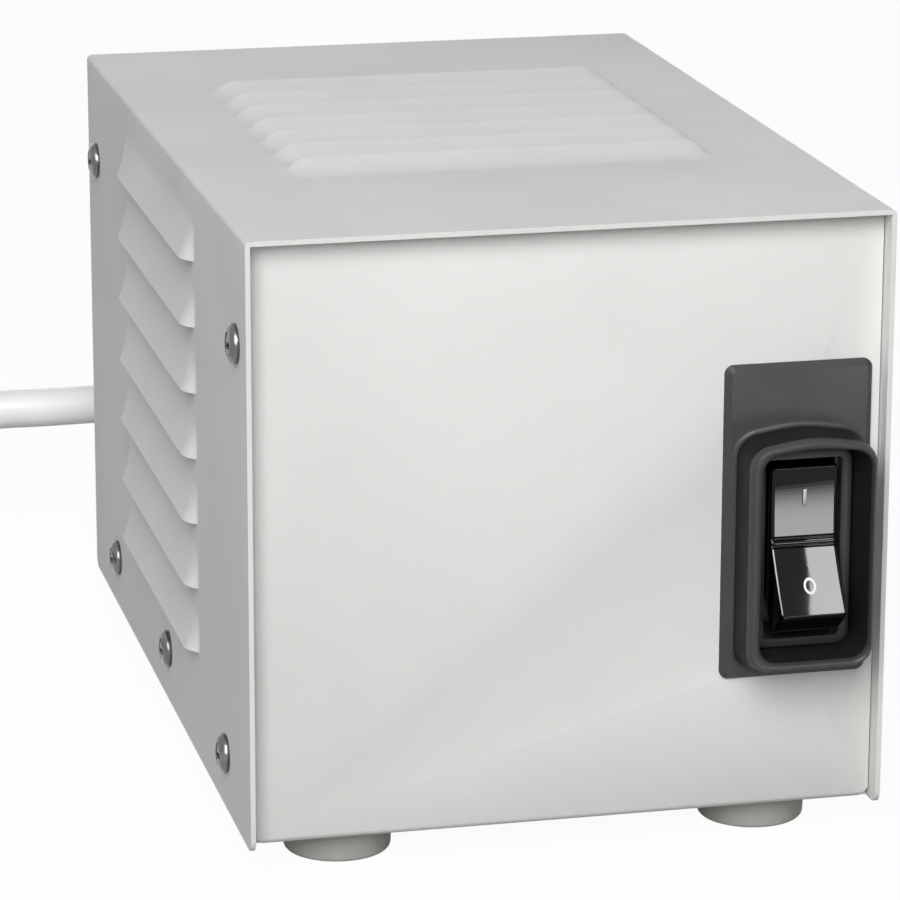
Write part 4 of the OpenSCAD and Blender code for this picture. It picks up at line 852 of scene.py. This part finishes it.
def addLight(name, kind, place, towards, **settings):
    # A lamp shines along its own -Z: its third axis points from what it lights back to the lamp
    light = bpy.data.lights.new(name, kind)
    for key, value in settings.items():
        setattr(light, key, value)
    holder = addObject(name, light)
    placeByAxes(holder, *lampAxes(towards), place)
    return holder


def rayShare(tree, *kinds):
    # 1 for rays of the given kinds and 0 for all others: the largest of the light path's outputs
    path = addNode(tree, "ShaderNodeLightPath")
    share = (path, kinds[0])
    for kind in kinds[1:]:
        share = (addNode(tree, "ShaderNodeMath", {0: share, 1: (path, kind)}, operation="MAXIMUM"), "Value")
    return share


def addFloor():
    # Rays that see the floor get a share of white light and the rest of matt paper; others get the paper
    half = stage["floorSize"] / 2
    mesh = bpy.data.meshes.new("floor")
    corners = [(-half, -half, 0), (half, -half, 0), (half, half, 0), (-half, half, 0)]
    mesh.from_pydata(corners, [], [(0, 1, 2, 3)])
    floor = addObject("floor", mesh)
    paper = bpy.data.materials.new("studioPaper")
    tree = emptyTree(paper)
    seen = rayShare(tree, "Is Camera Ray", "Is Glossy Ray")
    tone = addNode(tree, "ShaderNodeMapRange", {"Value": seen, "To Min": stage["bounceTone"],
                                                "To Max": stage["seenTone"]})
    matt = addNode(tree, "ShaderNodeBsdfDiffuse", {"Color": (tone, "Result")})
    glow = addNode(tree, "ShaderNodeEmission", {"Color": white, "Strength": 1.0})
    share = addNode(tree, "ShaderNodeMath", {0: seen, 1: stage["floorGlow"]}, operation="MULTIPLY")
    both = addNode(tree, "ShaderNodeMixShader", {0: (share, "Value"), 1: (matt, "BSDF"),
                                                 2: (glow, "Emission")})
    addNode(tree, "ShaderNodeOutputMaterial", {"Surface": (both, "Shader")})
    mesh.materials.append(paper)


def addLamps():
    # A soft key from the front left, a weak fill low behind, and the windows: a strip's watts = radiance *
    # pi * area, and a fading strip has 1 - (depth / whole depth) ^ 2 of the radiance
    keyPlace = np.array(stage["keyFrom"]) * stage["keyAway"] + stage["keyAim"]
    addLight("keyLight", "AREA", keyPlace, stage["keyFrom"], energy=stage["keyPower"], size=stage["keySize"])
    addLight("fillLight", "SUN", (0, 0, 0), stage["fillFrom"], energy=stage["fillEnergy"],
             angle=math.radians(stage["fillAngle"]))
    for name, window in windows.items():
        width, height, fades = window["width"], window["height"], window["fades"]
        up = lampAxes(window["facing"])[1]
        step = stage["fadeDepth"] / max(fades, 1)
        strips = [(0.0, height, 1.0)]
        for middle in np.arange(fades) + 0.5:
            strips.append((-height / 2 - middle * step, step, 1 - (middle / fades) ** 2))
        for rise, tall, share in strips:
            lamp = addLight(name, "AREA", np.array(window["place"]) + rise * up, window["facing"],
                            shape="RECTANGLE", size=width, size_y=tall,
                            energy=window["radiance"] * share * math.pi * width * tall)
            lamp.visible_camera = False
            lamp.visible_diffuse = False


def addWorld():
    # White where it is seen, mirrored or looked through at, and dim as a light
    world = bpy.data.worlds.new("studio")
    bpy.context.scene.world = world
    tree = emptyTree(world)
    dim = addNode(tree, "ShaderNodeBackground", {"Color": white, "Strength": stage["ambient"]})
    bright = addNode(tree, "ShaderNodeBackground", {"Color": white, "Strength": 1.0})
    seen = rayShare(tree, "Is Camera Ray", "Is Glossy Ray", "Is Transmission Ray")
    both = addNode(tree, "ShaderNodeMixShader", {0: seen, 1: (dim, "Background"),
                                                 2: (bright, "Background")})
    addNode(tree, "ShaderNodeOutputWorld", {"Surface": (both, "Shader")})


addFloor()
addLamps()
addWorld()
bpy.context.scene.view_settings.view_transform = "Standard"
print("stage ready")
